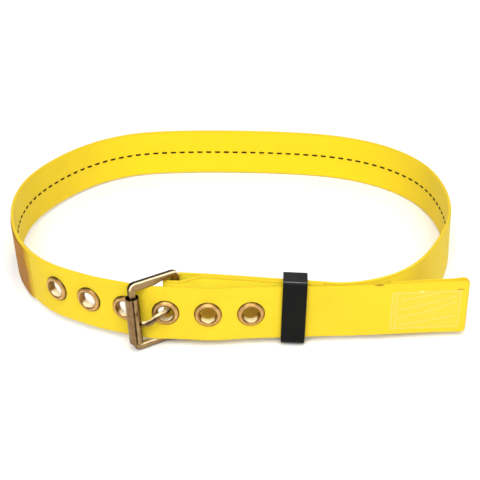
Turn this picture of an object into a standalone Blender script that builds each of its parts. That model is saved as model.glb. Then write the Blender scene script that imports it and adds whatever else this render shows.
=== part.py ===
"""Tongue buckle belt, fastened and standing on its lower edge.

One strap of woven webbing makes the whole belt. Its sewn end loops round the bar of a roller buckle, runs
behind the free end, round the waist, and comes back as the free end: it passes behind the roller, over the
bar, under the keeper, and ends in a folded hem. Six grommets line the free end and the buckle's tongue is
through the fourth. The tables are in millimetres, +X to the right, +Y to the back, +Z up.
"""

import math

import bmesh
import bpy
import numpy as np
from mathutils import Euler, Matrix, Vector

MM = 0.001

# Strap
STRAP_WIDTH = 45.6
STRAP_THICK = 2.6
STRAP_CHAMFER = 0.7
PLY_GAP = 0.3
PLY_PITCH = STRAP_THICK + PLY_GAP

# The lower edge lies in one plane: on the floor at the back, lifted where the buckle stands on its lower arm
EDGE_RISE_LEFT = 0.0062
EDGE_RISE_FRONT = 0.0172

# The middle of the strap's lower edge on plan, and how far its top edge leans in towards the waist
STRAP_RUN = (
    # place, x, y, lean
    ("bar", -43.0, -123.2, 3.0),
    ("behind the tongue", -33.0, -123.6, 3.0),
    ("front", -7.0, -125.7, 2.5),
    ("front", 20.0, -128.4, 1.8),
    ("behind the keeper", 45.0, -131.1, 1.2),
    ("end of the sewn ply", 70.0, -133.4, 0.4),
    ("where the free end lies on", 84.0, -134.7, 0.4),
    ("front right", 98.0, -133.1, 0.4),
    ("front right", 111.0, -129.1, 0.3),
    ("front right", 126.8, -122.6, 1.4),
    ("right bend", 143.8, -109.8, 2.4),
    ("right bend", 162.8, -85.1, 3.2),
    ("right bend", 178.3, -52.8, 2.8),
    ("right side", 186.0, -27.8, 2.0),
    ("right side", 189.0, 22.4, 0.7),
    ("right side", 176.9, 72.2, 0.6),
    ("back right", 143.6, 110.7, 0.0),
    ("back right", 99.5, 131.7, -0.4),
    ("back", 56.0, 139.4, -0.8),
    ("back", 0.0, 143.2, -0.8),
    ("back", -57.0, 142.2, -0.8),
    ("back left", -98.0, 135.2, -0.5),
    ("back left", -134.9, 113.2, -0.6),
    ("left side", -162.8, 79.2, -1.1),
    ("left side", -181.2, 37.7, -1.3),
    ("left side", -184.6, -7.0, -1.3),
    ("left bend", -175.1, -51.5, -1.2),
    ("left bend", -163.2, -76.0, -1.6),
    ("left bend", -146.6, -99.5, -0.1),
    ("first grommet", -130.2, -113.0, 1.0),
    ("front left", -114.8, -121.4, 1.2),
    ("front left", -100.0, -128.9, 2.0),
    ("before the roller", -77.5, -137.0, 2.6),
    ("past the roller", -66.0, -141.0, 2.8),
    ("fourth grommet", -47.0, -143.0, 3.0),
    ("over the bar", -31.0, -144.0, 2.8),
    ("over the bar", -15.0, -145.2, 2.4),
    ("sixth grommet", 7.0, -143.3, 2.0),
    ("before the keeper", 25.0, -142.0, 1.6),
    ("past the keeper", 55.0, -140.6, 0.7),
    ("over the sewn ply", 71.5, -139.7, 0.4),
    ("free tail", 86.0, -139.2, 0.4),
    ("free tail", 103.0, -138.4, 0.7),
    ("free tail", 122.0, -137.0, 1.2),
    ("free tail", 140.0, -135.6, 1.6),
    ("free tail", 159.0, -134.4, 1.8),
    ("hem", 178.2, -133.6, 2.0),
)

# Sewn end: a loop round the bar, and a second ply laid on the outside of the strap
LOOP_RADIUS = 5.8
LOOP_SPREAD_END = -37.0
LOOP_CLOSED_AT = -19.0
SEWN_PLY_END = 71.5
HEM_LENGTH = 57.0
HEM_FOLD_RADIUS = 2.2
HEM_PUFF_LENGTH = 12.0

# How the path is cut into straight pieces
SAMPLE_STEP = 0.2
LONGEST_PIECE = 11.0
SHARPEST_TURN = math.radians(14.0)
CLEAR_OF_FLAT = 3.7

# Grommets
GROMMET_COUNT = 6
GROMMET_PITCH = 31.75
GROMMET_SPREAD = 0.22
FASTENED_GROMMET = 4
FASTENED_GROMMET_X = -47.7
GROMMET_FLAT = 22.0
FIRST_GROMMET_RISE = 1.9
LAST_GROMMET_RISE = 0.1
GROMMET_HOLE_RADIUS = 7.4
HOLE_CUTTER_DEPTH = 10.4
GROMMET_STEPS = 20
# One side of a grommet's rolled wall: r from its axis, n out from the middle of the strap
GROMMET_WALL = (
    # r, n
    (6.1, -1.6),
    (6.1, 1.6),
    (6.3, 2.6),
    (6.9, 3.3),
    (7.8, 3.5),
    (8.8, 3.1),
    (9.9, 2.3),
    (10.4, 1.6),
    (7.0, 1.6),
    (7.0, -1.6),
    (9.7, -1.6),
    (9.2, -2.3),
    (8.2, -2.9),
    (7.2, -3.0),
    (6.4, -2.5),
)

# Buckle: a rounded frame of one bar, turned so that the roller side stands out in front of the strap
FRAME_HEIGHT = 52.5
FRAME_LENGTH = 37.0
FRAME_CORNER = 2.8
FRAME_BAR_WIDTH = 5.0
FRAME_BAR_DEPTH = 5.2
FRAME_BAR_ROUND = 1.4
FRAME_TURN = math.radians(31.2)
FRAME_LEAN = math.radians(4.35)
FRAME_MIDDLE = (-55.3, -137.7)
FRAME_CORNER_STEPS = 6
BAR_ROUND_STEPS = 3

ROLLER_RADIUS = 5.2
ROLLER_WALL = 0.9
ROLLER_LENGTH = 38.8
ROLLER_ABOVE_ARM = 4.4
ROLLER_SEAM = math.radians(4.0)
ROLLER_SEAM_AT = math.radians(107.0)
ROLLER_STEPS = 32

# Tongue: an eye round the buckle's bar, then a bent round bar through the fourth grommet to the roller
TONGUE_EYE_RADIUS = 5.1
TONGUE_EYE_START = math.radians(-98.0)
TONGUE_EYE_END = math.radians(180.0)
TONGUE_EYE_THICK = 3.0
TONGUE_EYE_HEIGHT = 23.0
TONGUE_EYE_STEPS = 16
TONGUE_STEPS = 43
TONGUE_ROUND = 2
TONGUE_RUN = (
    # x, y, height over the strap's lower edge, thickness
    (-44.7, -132.0, 23.4, 3.4),
    (-45.6, -137.0, 24.0, 4.0),
    (-47.0, -142.2, 24.4, 4.3),
    (-49.8, -147.0, 25.4, 4.4),
    (-53.4, -149.4, 24.2, 4.5),
    (-57.4, -149.8, 21.6, 4.5),
    (-61.5, -148.8, 18.2, 4.5),
    (-64.0, -148.2, 17.2, 4.3),
    (-65.1, -148.0, 17.0, 4.0),
)
SLOT_HEIGHT = 5.6
SLOT_LEFT = -56.0
SLOT_RIGHT = -31.0
SLOT_FRONT = -137.2
SLOT_BACK = -112.0

# Keeper: a loop of flat strip round the whole stack
KEEPER_MIDDLE = (49.0, -136.0)
KEEPER_WIDTH = 16.8
KEEPER_OPENING_DEPTH = 15.4
KEEPER_OPENING_HEIGHT = 50.2
KEEPER_RISE = 1.4
KEEPER_WALL = 1.6
KEEPER_EDGE = 0.3
KEEPER_CORNER = 2.4
KEEPER_CORNER_STEPS = 4
KEEPER_TURN = math.radians(-3.0)
KEEPER_LEAN = math.radians(1.5)

# Patch on the outside of the left bend
PATCH_FRONT_TO_GROMMET = 33.6
PATCH_LENGTH = 80.0
PATCH_THICK = 0.8
PATCH_LOW = -0.7
PATCH_HIGH = 43.0

# Shading and welding
SMOOTH_BELOW = math.radians(50.0)
BEVEL_ABOVE = math.radians(60.0)
WELD_DISTANCE = 0.001

MATERIALS = {
    # name: colour, roughness, metallic
    "yellow_webbing": ((0.93, 0.72, 0.05), 0.75, 0.0),
    "antique_brass": ((0.55, 0.36, 0.17), 0.35, 1.0),
    "yellow_brass": ((0.72, 0.48, 0.22), 0.3, 1.0),
    "black_plastic": ((0.02, 0.02, 0.02), 0.5, 0.0),
    "tan_leather": ((0.48, 0.24, 0.07), 0.6, 0.0),
}


def clear_scene():
    for item in list(bpy.data.objects):
        bpy.data.objects.remove(item, do_unlink=True)


def new_collection(name):
    collection = bpy.data.collections.new(name)
    bpy.context.scene.collection.children.link(collection)
    return collection


def make_material(name):
    colour, roughness, metallic = MATERIALS[name]
    material = bpy.data.materials.new(name)
    material.use_nodes = True
    shader = material.node_tree.nodes["Principled BSDF"]
    shader.inputs["Base Color"].default_value = (*colour, 1.0)
    shader.inputs["Roughness"].default_value = roughness
    shader.inputs["Metallic"].default_value = metallic
    return material


# Paths on plan


def natural_spline(points, samples_at):
    """A natural cubic through the points, its knots a chord length apart, read at the given lengths."""
    points = np.asarray(points, dtype=float)
    knots = chord_lengths(points[:, :2])
    count = len(knots)
    gap = np.diff(knots)
    matrix = np.eye(count)
    right = np.zeros_like(points)
    for i in range(1, count - 1):
        matrix[i, i - 1] = gap[i - 1]
        matrix[i, i] = 2.0 * (gap[i - 1] + gap[i])
        matrix[i, i + 1] = gap[i]
        right[i] = 6.0 * ((points[i + 1] - points[i]) / gap[i] - (points[i] - points[i - 1]) / gap[i - 1])
    bend = np.linalg.solve(matrix, right)
    span = np.clip(np.searchsorted(knots, samples_at, side="right") - 1, 0, count - 2)
    width = gap[span][:, None]
    after = (samples_at - knots[span])[:, None]
    before = width - after
    return (
        bend[span] * before**3 / (6.0 * width)
        + bend[span + 1] * after**3 / (6.0 * width)
        + (points[span] / width - bend[span] * width / 6.0) * before
        + (points[span + 1] / width - bend[span + 1] * width / 6.0) * after
    )


def chord_lengths(points):
    steps = np.linalg.norm(np.diff(points, axis=0), axis=1)
    return np.concatenate([[0.0], np.cumsum(steps)])


def left_normals(points):
    """Unit normals to the left of the way along a line: towards the waist on this belt."""
    along = np.gradient(points, axis=0)
    along /= np.linalg.norm(along, axis=1)[:, None]
    return np.column_stack([-along[:, 1], along[:, 0]])


def smooth_step(value):
    value = np.clip(value, 0.0, 1.0)
    return value * value * (3.0 - 2.0 * value)


def strap_run():
    """Points along the strap from the bar to the hem, with the way each point's top edge leans."""
    rows = np.array([row[1:] for row in STRAP_RUN])
    lengths = np.arange(0.0, chord_lengths(rows[:, :2])[-1], SAMPLE_STEP)
    line = natural_spline(rows, lengths)
    points = line[:, :2]
    leans = left_normals(points) * line[:, 2:]
    return points, leans


def bar_loop(points, lean):
    """Half a circle from the front of the bar round its left side to the strap's first point."""
    inward = left_normals(points)[0]
    along = np.array([inward[1], -inward[0]])
    middle = points[0] - LOOP_RADIUS * inward
    angles = np.linspace(0.0, math.pi, round(math.pi * LOOP_RADIUS / SAMPLE_STEP))
    loop = middle - LOOP_RADIUS * (np.outer(np.cos(angles), inward) + np.outer(np.sin(angles), along))
    return loop, np.tile(lean, (len(loop), 1))


def sewn_ply(points, leans):
    """The ply sewn back on the strap's outside, spread round the bar at its left end."""
    kept = points[:, 0] <= SEWN_PLY_END
    kept[np.argmax(points[:, 0] > SEWN_PLY_END):] = False
    spread = smooth_step((LOOP_CLOSED_AT - points[kept, 0]) / (LOOP_CLOSED_AT - LOOP_SPREAD_END))
    offset = PLY_PITCH + (2.0 * LOOP_RADIUS - PLY_PITCH) * spread
    ply = points[kept] - left_normals(points)[kept] * offset[:, None]
    return ply[::-1], leans[kept][::-1]


def hem(points, leans):
    """The round fold at the free end and the ply that it turns back on the waist side."""
    inward = left_normals(points)
    along = points[-1] - points[-2]
    along /= np.linalg.norm(along)
    middle = points[-1] + inward[-1] * HEM_FOLD_RADIUS
    angles = np.linspace(0.0, math.pi, round(math.pi * HEM_FOLD_RADIUS / SAMPLE_STEP))[1:-1]
    fold = middle + HEM_FOLD_RADIUS * (np.outer(np.sin(angles), along) - np.outer(np.cos(angles), inward[-1]))
    kept = round(HEM_LENGTH / SAMPLE_STEP)
    from_end = np.arange(kept)[::-1] * SAMPLE_STEP
    puff = smooth_step(1.0 - from_end / HEM_PUFF_LENGTH)
    offset = PLY_PITCH + (2.0 * HEM_FOLD_RADIUS - PLY_PITCH) * puff
    ply = points[-kept:] + inward[-kept:] * offset[:, None]
    path = np.vstack([fold, ply[::-1]])
    turned = np.tile(leans[-1], (len(fold), 1))
    return path, np.vstack([turned, leans[-kept:][::-1]])


def webbing_path():
    """The whole strap as one line, and the length along it where the run from the bar starts."""
    run, run_leans = strap_run()
    loop, loop_leans = bar_loop(run, run_leans[0])
    ply, ply_leans = sewn_ply(run, run_leans)
    end, end_leans = hem(run, run_leans)
    points = np.vstack([ply[:-1], loop[:-1], run, end])
    leans = np.vstack([ply_leans[:-1], loop_leans[:-1], run_leans, end_leans])
    return points, leans, len(ply) + len(loop) - 2, len(run)


def grommet_places(points, lengths, run_start, run_count):
    """Length along the strap at each grommet: the fastened one by its x, the rest by their pitch."""
    run = slice(run_start + run_count // 2, run_start + run_count)
    nearest = np.argmin(np.abs(points[run, 0] - FASTENED_GROMMET_X))
    fastened = lengths[run][nearest]
    away = np.arange(GROMMET_COUNT) + 1 - FASTENED_GROMMET
    return fastened + GROMMET_PITCH * away + GROMMET_SPREAD * away**2


def path_pieces(points, lengths, flats):
    """Indices that cut the path into straight pieces: short ones round bends, one piece over each flat."""
    along = np.diff(points, axis=0)
    heading = np.unwrap(np.arctan2(along[:, 1], along[:, 0]))
    picked = [0]
    for i in range(1, len(points) - 1):
        on_flat = any(low < lengths[i] < high for low, high in flats)
        at_end = any(abs(lengths[i] - end) < SAMPLE_STEP / 2.0 for flat in flats for end in flat)
        long_enough = lengths[i] - lengths[picked[-1]] >= LONGEST_PIECE
        turned_enough = abs(heading[i] - heading[picked[-1]]) >= SHARPEST_TURN
        near_flat = any(0.0 < low - lengths[i] < CLEAR_OF_FLAT for low, high in flats)
        if at_end or ((long_enough or turned_enough) and not on_flat and not near_flat):
            picked.append(i)
    return picked + [len(points) - 1]


def edge_heights(points, run):
    """Height of the strap's lower edge over the floor: a plane that just touches it at the back."""
    rise = -EDGE_RISE_LEFT * points[:, 0] - EDGE_RISE_FRONT * points[:, 1]
    lowest = (-EDGE_RISE_LEFT * run[:, 0] - EDGE_RISE_FRONT * run[:, 1]).min()
    return rise - lowest


# Shapes


def sheet_object(name, lower, upper, closed, collection, material):
    """An open band between two rows of points, the first ply of a solidified strip."""
    mesh = bpy.data.meshes.new(name)
    cage = bmesh.new()
    row = [cage.verts.new(Vector(point) * MM) for point in lower]
    ends = zip(row, row[1:] + row[:1]) if closed else zip(row, row[1:])
    edges = [cage.edges.new(pair) for pair in ends]
    raised = bmesh.ops.extrude_edge_only(cage, edges=edges)["geom"]
    partners = {}
    for vert in row:
        for edge in vert.link_edges:
            other = edge.other_vert(vert)
            if other in raised and other not in partners.values():
                partners[vert] = other
    for vert, point in zip(row, upper):
        partners[vert].co = Vector(point) * MM
    bmesh.ops.recalc_face_normals(cage, faces=cage.faces)
    cage.to_mesh(mesh)
    cage.free()
    mesh.materials.append(material)
    piece = bpy.data.objects.new(name, mesh)
    collection.objects.link(piece)
    return piece


def thicken(piece, thickness):
    shell = piece.modifiers.new("thickness", "SOLIDIFY")
    shell.thickness = thickness * MM
    shell.offset = 0.0
    shell.use_even_offset = True
    shell.use_quality_normals = True


def soften_edges(piece, width, segments):
    bevel = piece.modifiers.new("edges", "BEVEL")
    bevel.width = width * MM
    bevel.segments = segments
    bevel.limit_method = "ANGLE"
    bevel.angle_limit = BEVEL_ABOVE
    bevel.use_clamp_overlap = False


def cut(piece, cutter):
    boolean = piece.modifiers.new(cutter.name, "BOOLEAN")
    boolean.operation = "DIFFERENCE"
    boolean.solver = "EXACT"
    boolean.object = cutter


def as_cutter(piece, cutters):
    for collection in list(piece.users_collection):
        collection.objects.unlink(piece)
    cutters.objects.link(piece)
    piece.hide_render = True
    piece.display_type = "WIRE"


def smooth(mesh):
    mesh.shade_smooth()
    mesh.set_sharp_from_angle(angle=SMOOTH_BELOW)


def rounded_rectangle(width, height, radius, steps):
    """Corner points of a rounded rectangle round the origin, anticlockwise."""
    points = []
    corners = ((1, 1, 0.0), (-1, 1, 90.0), (-1, -1, 180.0), (1, -1, 270.0))
    for side_x, side_y, first in corners:
        middle_x = side_x * (width / 2.0 - radius)
        middle_y = side_y * (height / 2.0 - radius)
        for step in range(steps + 1):
            angle = math.radians(first + 90.0 * step / steps)
            points.append((middle_x + radius * math.cos(angle), middle_y + radius * math.sin(angle)))
    return points


def poly_curve(name, points, dimensions, cyclic):
    curve = bpy.data.curves.new(name, "CURVE")
    curve.dimensions = dimensions
    spline = curve.splines.new("POLY")
    spline.points.add(len(points) - 1)
    for target, point in zip(spline.points, points):
        target.co = (*(value * MM for value in point), 1.0)
    spline.use_cyclic_u = cyclic
    return curve


def mesh_from_curve(name, curve_object, collection, material):
    """The curve's solid as a mesh object with welded caps, in the curve's place."""
    graph = bpy.context.evaluated_depsgraph_get()
    mesh = bpy.data.meshes.new_from_object(curve_object.evaluated_get(graph))
    cage = bmesh.new()
    cage.from_mesh(mesh)
    bmesh.ops.remove_doubles(cage, verts=cage.verts, dist=WELD_DISTANCE * MM)
    bmesh.ops.recalc_face_normals(cage, faces=cage.faces)
    cage.to_mesh(mesh)
    cage.free()
    mesh.name = name
    mesh.materials.clear()
    mesh.materials.append(material)
    piece = bpy.data.objects.new(name, mesh)
    piece.matrix_world = curve_object.matrix_world
    collection.objects.link(piece)
    bpy.data.objects.remove(curve_object, do_unlink=True)
    return piece


# The belt's pieces


def build_webbing(stations, parts, material):
    lower, upper = stations
    piece = sheet_object("webbing", lower, upper, False, parts, material)
    thicken(piece, STRAP_THICK)
    soften_edges(piece, STRAP_CHAMFER, 1)
    return piece


def grommet_frames(points, leans, heights, lengths, places):
    """A matrix for each grommet: Z out of the strap, Y up it, on the middle of its flat."""
    frames = []
    for place, raised in zip(places, np.linspace(FIRST_GROMMET_RISE, LAST_GROMMET_RISE, GROMMET_COUNT)):
        ends = [np.argmin(np.abs(lengths - (place + side * GROMMET_FLAT / 2.0))) for side in (-1, 1)]
        lean = leans[ends].mean(axis=0)
        low = [Vector((*points[i], heights[i])) for i in ends]
        up = Vector((*lean, STRAP_WIDTH))
        along = (low[1] - low[0]).normalized()
        out = along.cross(up).normalized()
        rise = out.cross(along)
        middle = (low[0] + low[1] + up) / 2.0 + rise * raised
        axes = Matrix((along, rise, out)).transposed().to_4x4()
        frames.append(Matrix.Translation(middle * MM) @ axes)
    return frames


def build_grommets(frames, parts, material):
    for index, frame in enumerate(frames, start=1):
        mesh = bpy.data.meshes.new(f"grommet_{index}")
        wall = [(r * MM, 0.0, n * MM) for r, n in GROMMET_WALL]
        around = [(i, (i + 1) % len(wall)) for i in range(len(wall))]
        mesh.from_pydata(wall, around, [])
        mesh.materials.append(material)
        piece = bpy.data.objects.new(f"grommet_{index}", mesh)
        turn = piece.modifiers.new("turn", "SCREW")
        turn.axis = "Z"
        turn.steps = GROMMET_STEPS
        turn.render_steps = GROMMET_STEPS
        turn.use_merge_vertices = True
        turn.merge_threshold = WELD_DISTANCE * MM
        turn.use_smooth_shade = True
        piece.matrix_world = frame
        parts.objects.link(piece)


def cut_grommet_holes(webbing, frames, cutters):
    for index, frame in enumerate(frames, start=1):
        bpy.ops.mesh.primitive_cylinder_add(
            vertices=GROMMET_STEPS, radius=GROMMET_HOLE_RADIUS * MM, depth=HOLE_CUTTER_DEPTH * MM
        )
        cutter = bpy.context.object
        cutter.name = f"hole_{index}"
        cutter.matrix_world = frame
        as_cutter(cutter, cutters)
        cut(webbing, cutter)


def cut_tongue_slot(webbing, height, cutters):
    size = (SLOT_RIGHT - SLOT_LEFT, SLOT_BACK - SLOT_FRONT, SLOT_HEIGHT)
    middle = ((SLOT_LEFT + SLOT_RIGHT) / 2.0, (SLOT_FRONT + SLOT_BACK) / 2.0, height)
    bpy.ops.mesh.primitive_cube_add(size=1.0)
    cutter = bpy.context.object
    cutter.name = "tongue_slot"
    cutter.matrix_world = Matrix.Translation(Vector(middle) * MM) @ Matrix.Diagonal((*(s * MM for s in size), 1.0))
    as_cutter(cutter, cutters)
    cut(webbing, cutter)


def buckle_matrix():
    """Local X along the arms, local Y up the bars, local Z out to the front; the lower arm on the floor."""
    lower_arm = (FRAME_BAR_WIDTH / 2.0) * math.cos(FRAME_LEAN) + (FRAME_BAR_DEPTH / 2.0) * math.sin(FRAME_LEAN)
    height = lower_arm - corner_cut() + (FRAME_HEIGHT / 2.0) * math.cos(FRAME_LEAN)
    stand = Matrix.Rotation(math.pi / 2.0, 4, "X")
    lean = Matrix.Rotation(-FRAME_LEAN, 4, "X")
    turn = Matrix.Rotation(FRAME_TURN, 4, "Z")
    return Matrix.Translation(Vector((*FRAME_MIDDLE, height)) * MM) @ turn @ lean @ stand


def corner_cut():
    """How much the bar's rounded corner takes off its lowest point when the frame leans."""
    return FRAME_BAR_ROUND * (math.cos(FRAME_LEAN) + math.sin(FRAME_LEAN) - 1.0)


def build_buckle_frame(parts, material, cutters):
    section = rounded_rectangle(FRAME_BAR_WIDTH, FRAME_BAR_DEPTH, FRAME_BAR_ROUND, BAR_ROUND_STEPS)
    profile = bpy.data.objects.new("bar_section", poly_curve("bar_section", [(*p, 0.0) for p in section], "2D", True))
    as_cutter(profile, cutters)
    loop = rounded_rectangle(FRAME_LENGTH, FRAME_HEIGHT, FRAME_CORNER, FRAME_CORNER_STEPS)
    curve = poly_curve("frame_loop", [(*p, 0.0) for p in loop], "2D", True)
    curve.bevel_mode = "OBJECT"
    curve.bevel_object = profile
    guide = bpy.data.objects.new("frame_loop", curve)
    parts.objects.link(guide)
    bpy.context.view_layer.update()
    piece = mesh_from_curve("buckle_frame", guide, parts, material)
    smooth(piece.data)
    piece.matrix_world = buckle_matrix()
    return piece


def build_roller(parts, material):
    """A tube rolled from sheet with an open seam, its origin on the axis of the bar that it turns on."""
    radius = ROLLER_RADIUS - ROLLER_WALL / 2.0
    angles = np.linspace(ROLLER_SEAM / 2.0, 2.0 * math.pi - ROLLER_SEAM / 2.0, ROLLER_STEPS + 1) + ROLLER_SEAM_AT
    low = [(radius * math.cos(a), 0.0, radius * math.sin(a)) for a in angles]
    high = [(x, ROLLER_LENGTH, z) for x, y, z in low]
    piece = sheet_object("buckle_roller", low, high, False, parts, material)
    thicken(piece, ROLLER_WALL)
    smooth(piece.data)
    place = Vector((-FRAME_LENGTH / 2.0, ROLLER_ABOVE_ARM - FRAME_HEIGHT / 2.0, 0.0)) * MM
    piece.matrix_world = buckle_matrix() @ Matrix.Translation(place)
    return piece


def tongue_rows(edge_height):
    """Points of the tongue's centre line with its thickness: the eye round the bar, then the table's run."""
    matrix = buckle_matrix()
    bar = matrix @ (Vector((FRAME_LENGTH / 2.0, 0.0, 0.0)) * MM) / MM
    rows = []
    for angle in np.linspace(TONGUE_EYE_START, TONGUE_EYE_END, TONGUE_EYE_STEPS + 1):
        x = bar.x + TONGUE_EYE_RADIUS * math.cos(angle)
        y = bar.y + TONGUE_EYE_RADIUS * math.sin(angle)
        rows.append((x, y, TONGUE_EYE_HEIGHT + edge_height(x, y), TONGUE_EYE_THICK))
    rows += [(x, y, z + edge_height(x, y), thick) for x, y, z, thick in TONGUE_RUN]
    return rows


def build_tongue(edge_height, parts, material):
    rows = np.array(tongue_rows(edge_height))
    knots = chord_lengths(rows[:, :2])
    line = natural_spline(rows, np.linspace(0.0, knots[-1], TONGUE_STEPS + 1))
    curve = poly_curve("tongue_line", [tuple(row[:3]) for row in line], "3D", False)
    for point, row in zip(curve.splines[0].points, line):
        point.radius = row[3] / 2.0
    curve.bevel_depth = 1.0 * MM
    curve.bevel_resolution = TONGUE_ROUND
    curve.use_fill_caps = True
    guide = bpy.data.objects.new("tongue_line", curve)
    parts.objects.link(guide)
    bpy.context.view_layer.update()
    piece = mesh_from_curve("buckle_tongue", guide, parts, material)
    smooth(piece.data)
    return piece


def build_keeper(edge_height, parts, material):
    depth = KEEPER_OPENING_DEPTH + KEEPER_WALL
    height = KEEPER_OPENING_HEIGHT + KEEPER_WALL
    ring = rounded_rectangle(depth, height, KEEPER_CORNER, KEEPER_CORNER_STEPS)
    left = [(-KEEPER_WIDTH / 2.0, y, z) for y, z in ring]
    right = [(KEEPER_WIDTH / 2.0, y, z) for y, z in ring]
    piece = sheet_object("keeper", left, right, True, parts, material)
    thicken(piece, KEEPER_WALL)
    soften_edges(piece, KEEPER_EDGE, 1)
    middle_height = edge_height(*KEEPER_MIDDLE) + STRAP_WIDTH / 2.0 + KEEPER_RISE
    turn = Euler((-KEEPER_LEAN, 0.0, KEEPER_TURN)).to_matrix().to_4x4()
    piece.matrix_world = Matrix.Translation(Vector((*KEEPER_MIDDLE, middle_height)) * MM) @ turn
    return piece


def build_patch(points, leans, heights, picked, lengths, front, parts, material):
    """A band on the strap's outside, parallel to it, from the left bend back round the side."""
    inward = left_normals(points)
    offset = STRAP_THICK / 2.0 + PLY_GAP + PATCH_THICK / 2.0
    ends = [int(np.argmin(np.abs(lengths - value))) for value in (front - PATCH_LENGTH, front)]
    chosen = [ends[0]] + [i for i in picked if ends[0] < i < ends[1]] + [ends[1]]
    low, high = [], []
    for i in chosen:
        out = points[i] - inward[i] * offset
        for row, level in ((low, PATCH_LOW), (high, PATCH_HIGH)):
            row.append((*(out + leans[i] * level / STRAP_WIDTH), heights[i] + level))
    piece = sheet_object("side_patch", low, high, False, parts, material)
    thicken(piece, PATCH_THICK)
    return piece


def centre_on_floor(parts, cutters):
    """Hangs everything on one empty and moves it so that the belt stands centred on the origin."""
    bpy.context.view_layer.update()
    graph = bpy.context.evaluated_depsgraph_get()
    corners = []
    for piece in parts.objects:
        solid = piece.evaluated_get(graph)
        corners += [piece.matrix_world @ vert.co for vert in solid.data.vertices]
    low = [min(corner[axis] for corner in corners) for axis in range(3)]
    high = [max(corner[axis] for corner in corners) for axis in range(3)]
    stand = bpy.data.objects.new("belt_stand", None)
    pieces = list(parts.objects) + list(cutters.objects)
    parts.objects.link(stand)
    for piece in pieces:
        piece.parent = stand
    stand.location = (-(low[0] + high[0]) / 2.0, -(low[1] + high[1]) / 2.0, -low[2])


def main():
    clear_scene()
    parts = new_collection("tongue_buckle_belt")
    cutters = new_collection("cutters")
    materials = {name: make_material(name) for name in MATERIALS}

    points, leans, run_start, run_count = webbing_path()
    lengths = chord_lengths(points)
    run = points[run_start:run_start + run_count]
    heights = edge_heights(points, run)
    places = grommet_places(points, lengths, run_start, run_count)
    flats = [(place - GROMMET_FLAT / 2.0, place + GROMMET_FLAT / 2.0) for place in places]
    picked = path_pieces(points, lengths, flats)

    def edge_height(x, y):
        return float(edge_heights(np.array([[x, y]]), run)[0])

    for place in places:
        ends = [np.argmin(np.abs(lengths - (place + side * GROMMET_FLAT / 2.0))) for side in (-1, 1)]
        leans[ends] = leans[ends].mean(axis=0)
    lower = [(*points[i], heights[i]) for i in picked]
    upper = [(*(points[i] + leans[i]), heights[i] + STRAP_WIDTH) for i in picked]

    webbing = build_webbing((lower, upper), parts, materials["yellow_webbing"])
    frames = grommet_frames(points, leans, heights, lengths, places)
    cut_grommet_holes(webbing, frames, cutters)
    slot_height = TONGUE_EYE_HEIGHT + edge_height(SLOT_RIGHT, SLOT_FRONT)
    cut_tongue_slot(webbing, slot_height, cutters)
    build_grommets(frames, parts, materials["yellow_brass"])
    build_buckle_frame(parts, materials["antique_brass"], cutters)
    build_roller(parts, materials["antique_brass"])
    build_tongue(edge_height, parts, materials["antique_brass"])
    build_keeper(edge_height, parts, materials["black_plastic"])
    front = places[0] - PATCH_FRONT_TO_GROMMET
    build_patch(points, leans, heights, picked, lengths, front, parts, materials["tan_leather"])
    centre_on_floor(parts, cutters)


main()
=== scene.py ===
"""Looks of the tongue buckle belt: woven webbing, brass fittings, a black keeper and a leather patch.

The strap's route, the buckle and the rest are worked out from the same tables as the solids, in millimetres,
+X to the right, +Y to the back, +Z up. The keeper's place in the frame gives the shift between the two.
"""

import math

import bmesh
import bpy
import numpy as np
from mathutils import Euler, Matrix, Vector


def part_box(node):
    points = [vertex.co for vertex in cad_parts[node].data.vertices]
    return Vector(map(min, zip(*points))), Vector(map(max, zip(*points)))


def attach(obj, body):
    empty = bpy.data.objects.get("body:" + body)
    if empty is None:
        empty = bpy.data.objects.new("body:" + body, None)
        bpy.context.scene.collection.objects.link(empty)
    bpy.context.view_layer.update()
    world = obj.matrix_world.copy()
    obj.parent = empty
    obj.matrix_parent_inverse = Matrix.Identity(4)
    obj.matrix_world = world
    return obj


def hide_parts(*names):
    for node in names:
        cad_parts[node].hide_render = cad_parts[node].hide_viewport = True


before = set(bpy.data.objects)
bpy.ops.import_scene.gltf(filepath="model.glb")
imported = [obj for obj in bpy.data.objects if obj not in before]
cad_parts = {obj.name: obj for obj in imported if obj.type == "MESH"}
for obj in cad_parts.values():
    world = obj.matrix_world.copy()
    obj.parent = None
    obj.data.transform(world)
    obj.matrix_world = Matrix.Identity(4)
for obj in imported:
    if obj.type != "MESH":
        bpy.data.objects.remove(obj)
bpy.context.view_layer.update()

MM = 0.001

# Camera: where it stands on the tables' axes, how far it turns, looks down and rolls, and its lens
CAMERA_PLACE = (10.84, -757.34, 463.7)
CAMERA_YAW = math.radians(0.208)
CAMERA_DOWN = math.radians(31.11)
CAMERA_ROLL = math.radians(-0.415)
CAMERA_LENS = 75.0
CAMERA_SENSOR = 36.0

# Strap
STRAP_WIDTH = 45.6
STRAP_THICK = 2.6
PLY_GAP = 0.3
PLY_PITCH = STRAP_THICK + PLY_GAP
EDGE_RISE_LEFT = 0.0062
EDGE_RISE_FRONT = 0.0172

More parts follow.
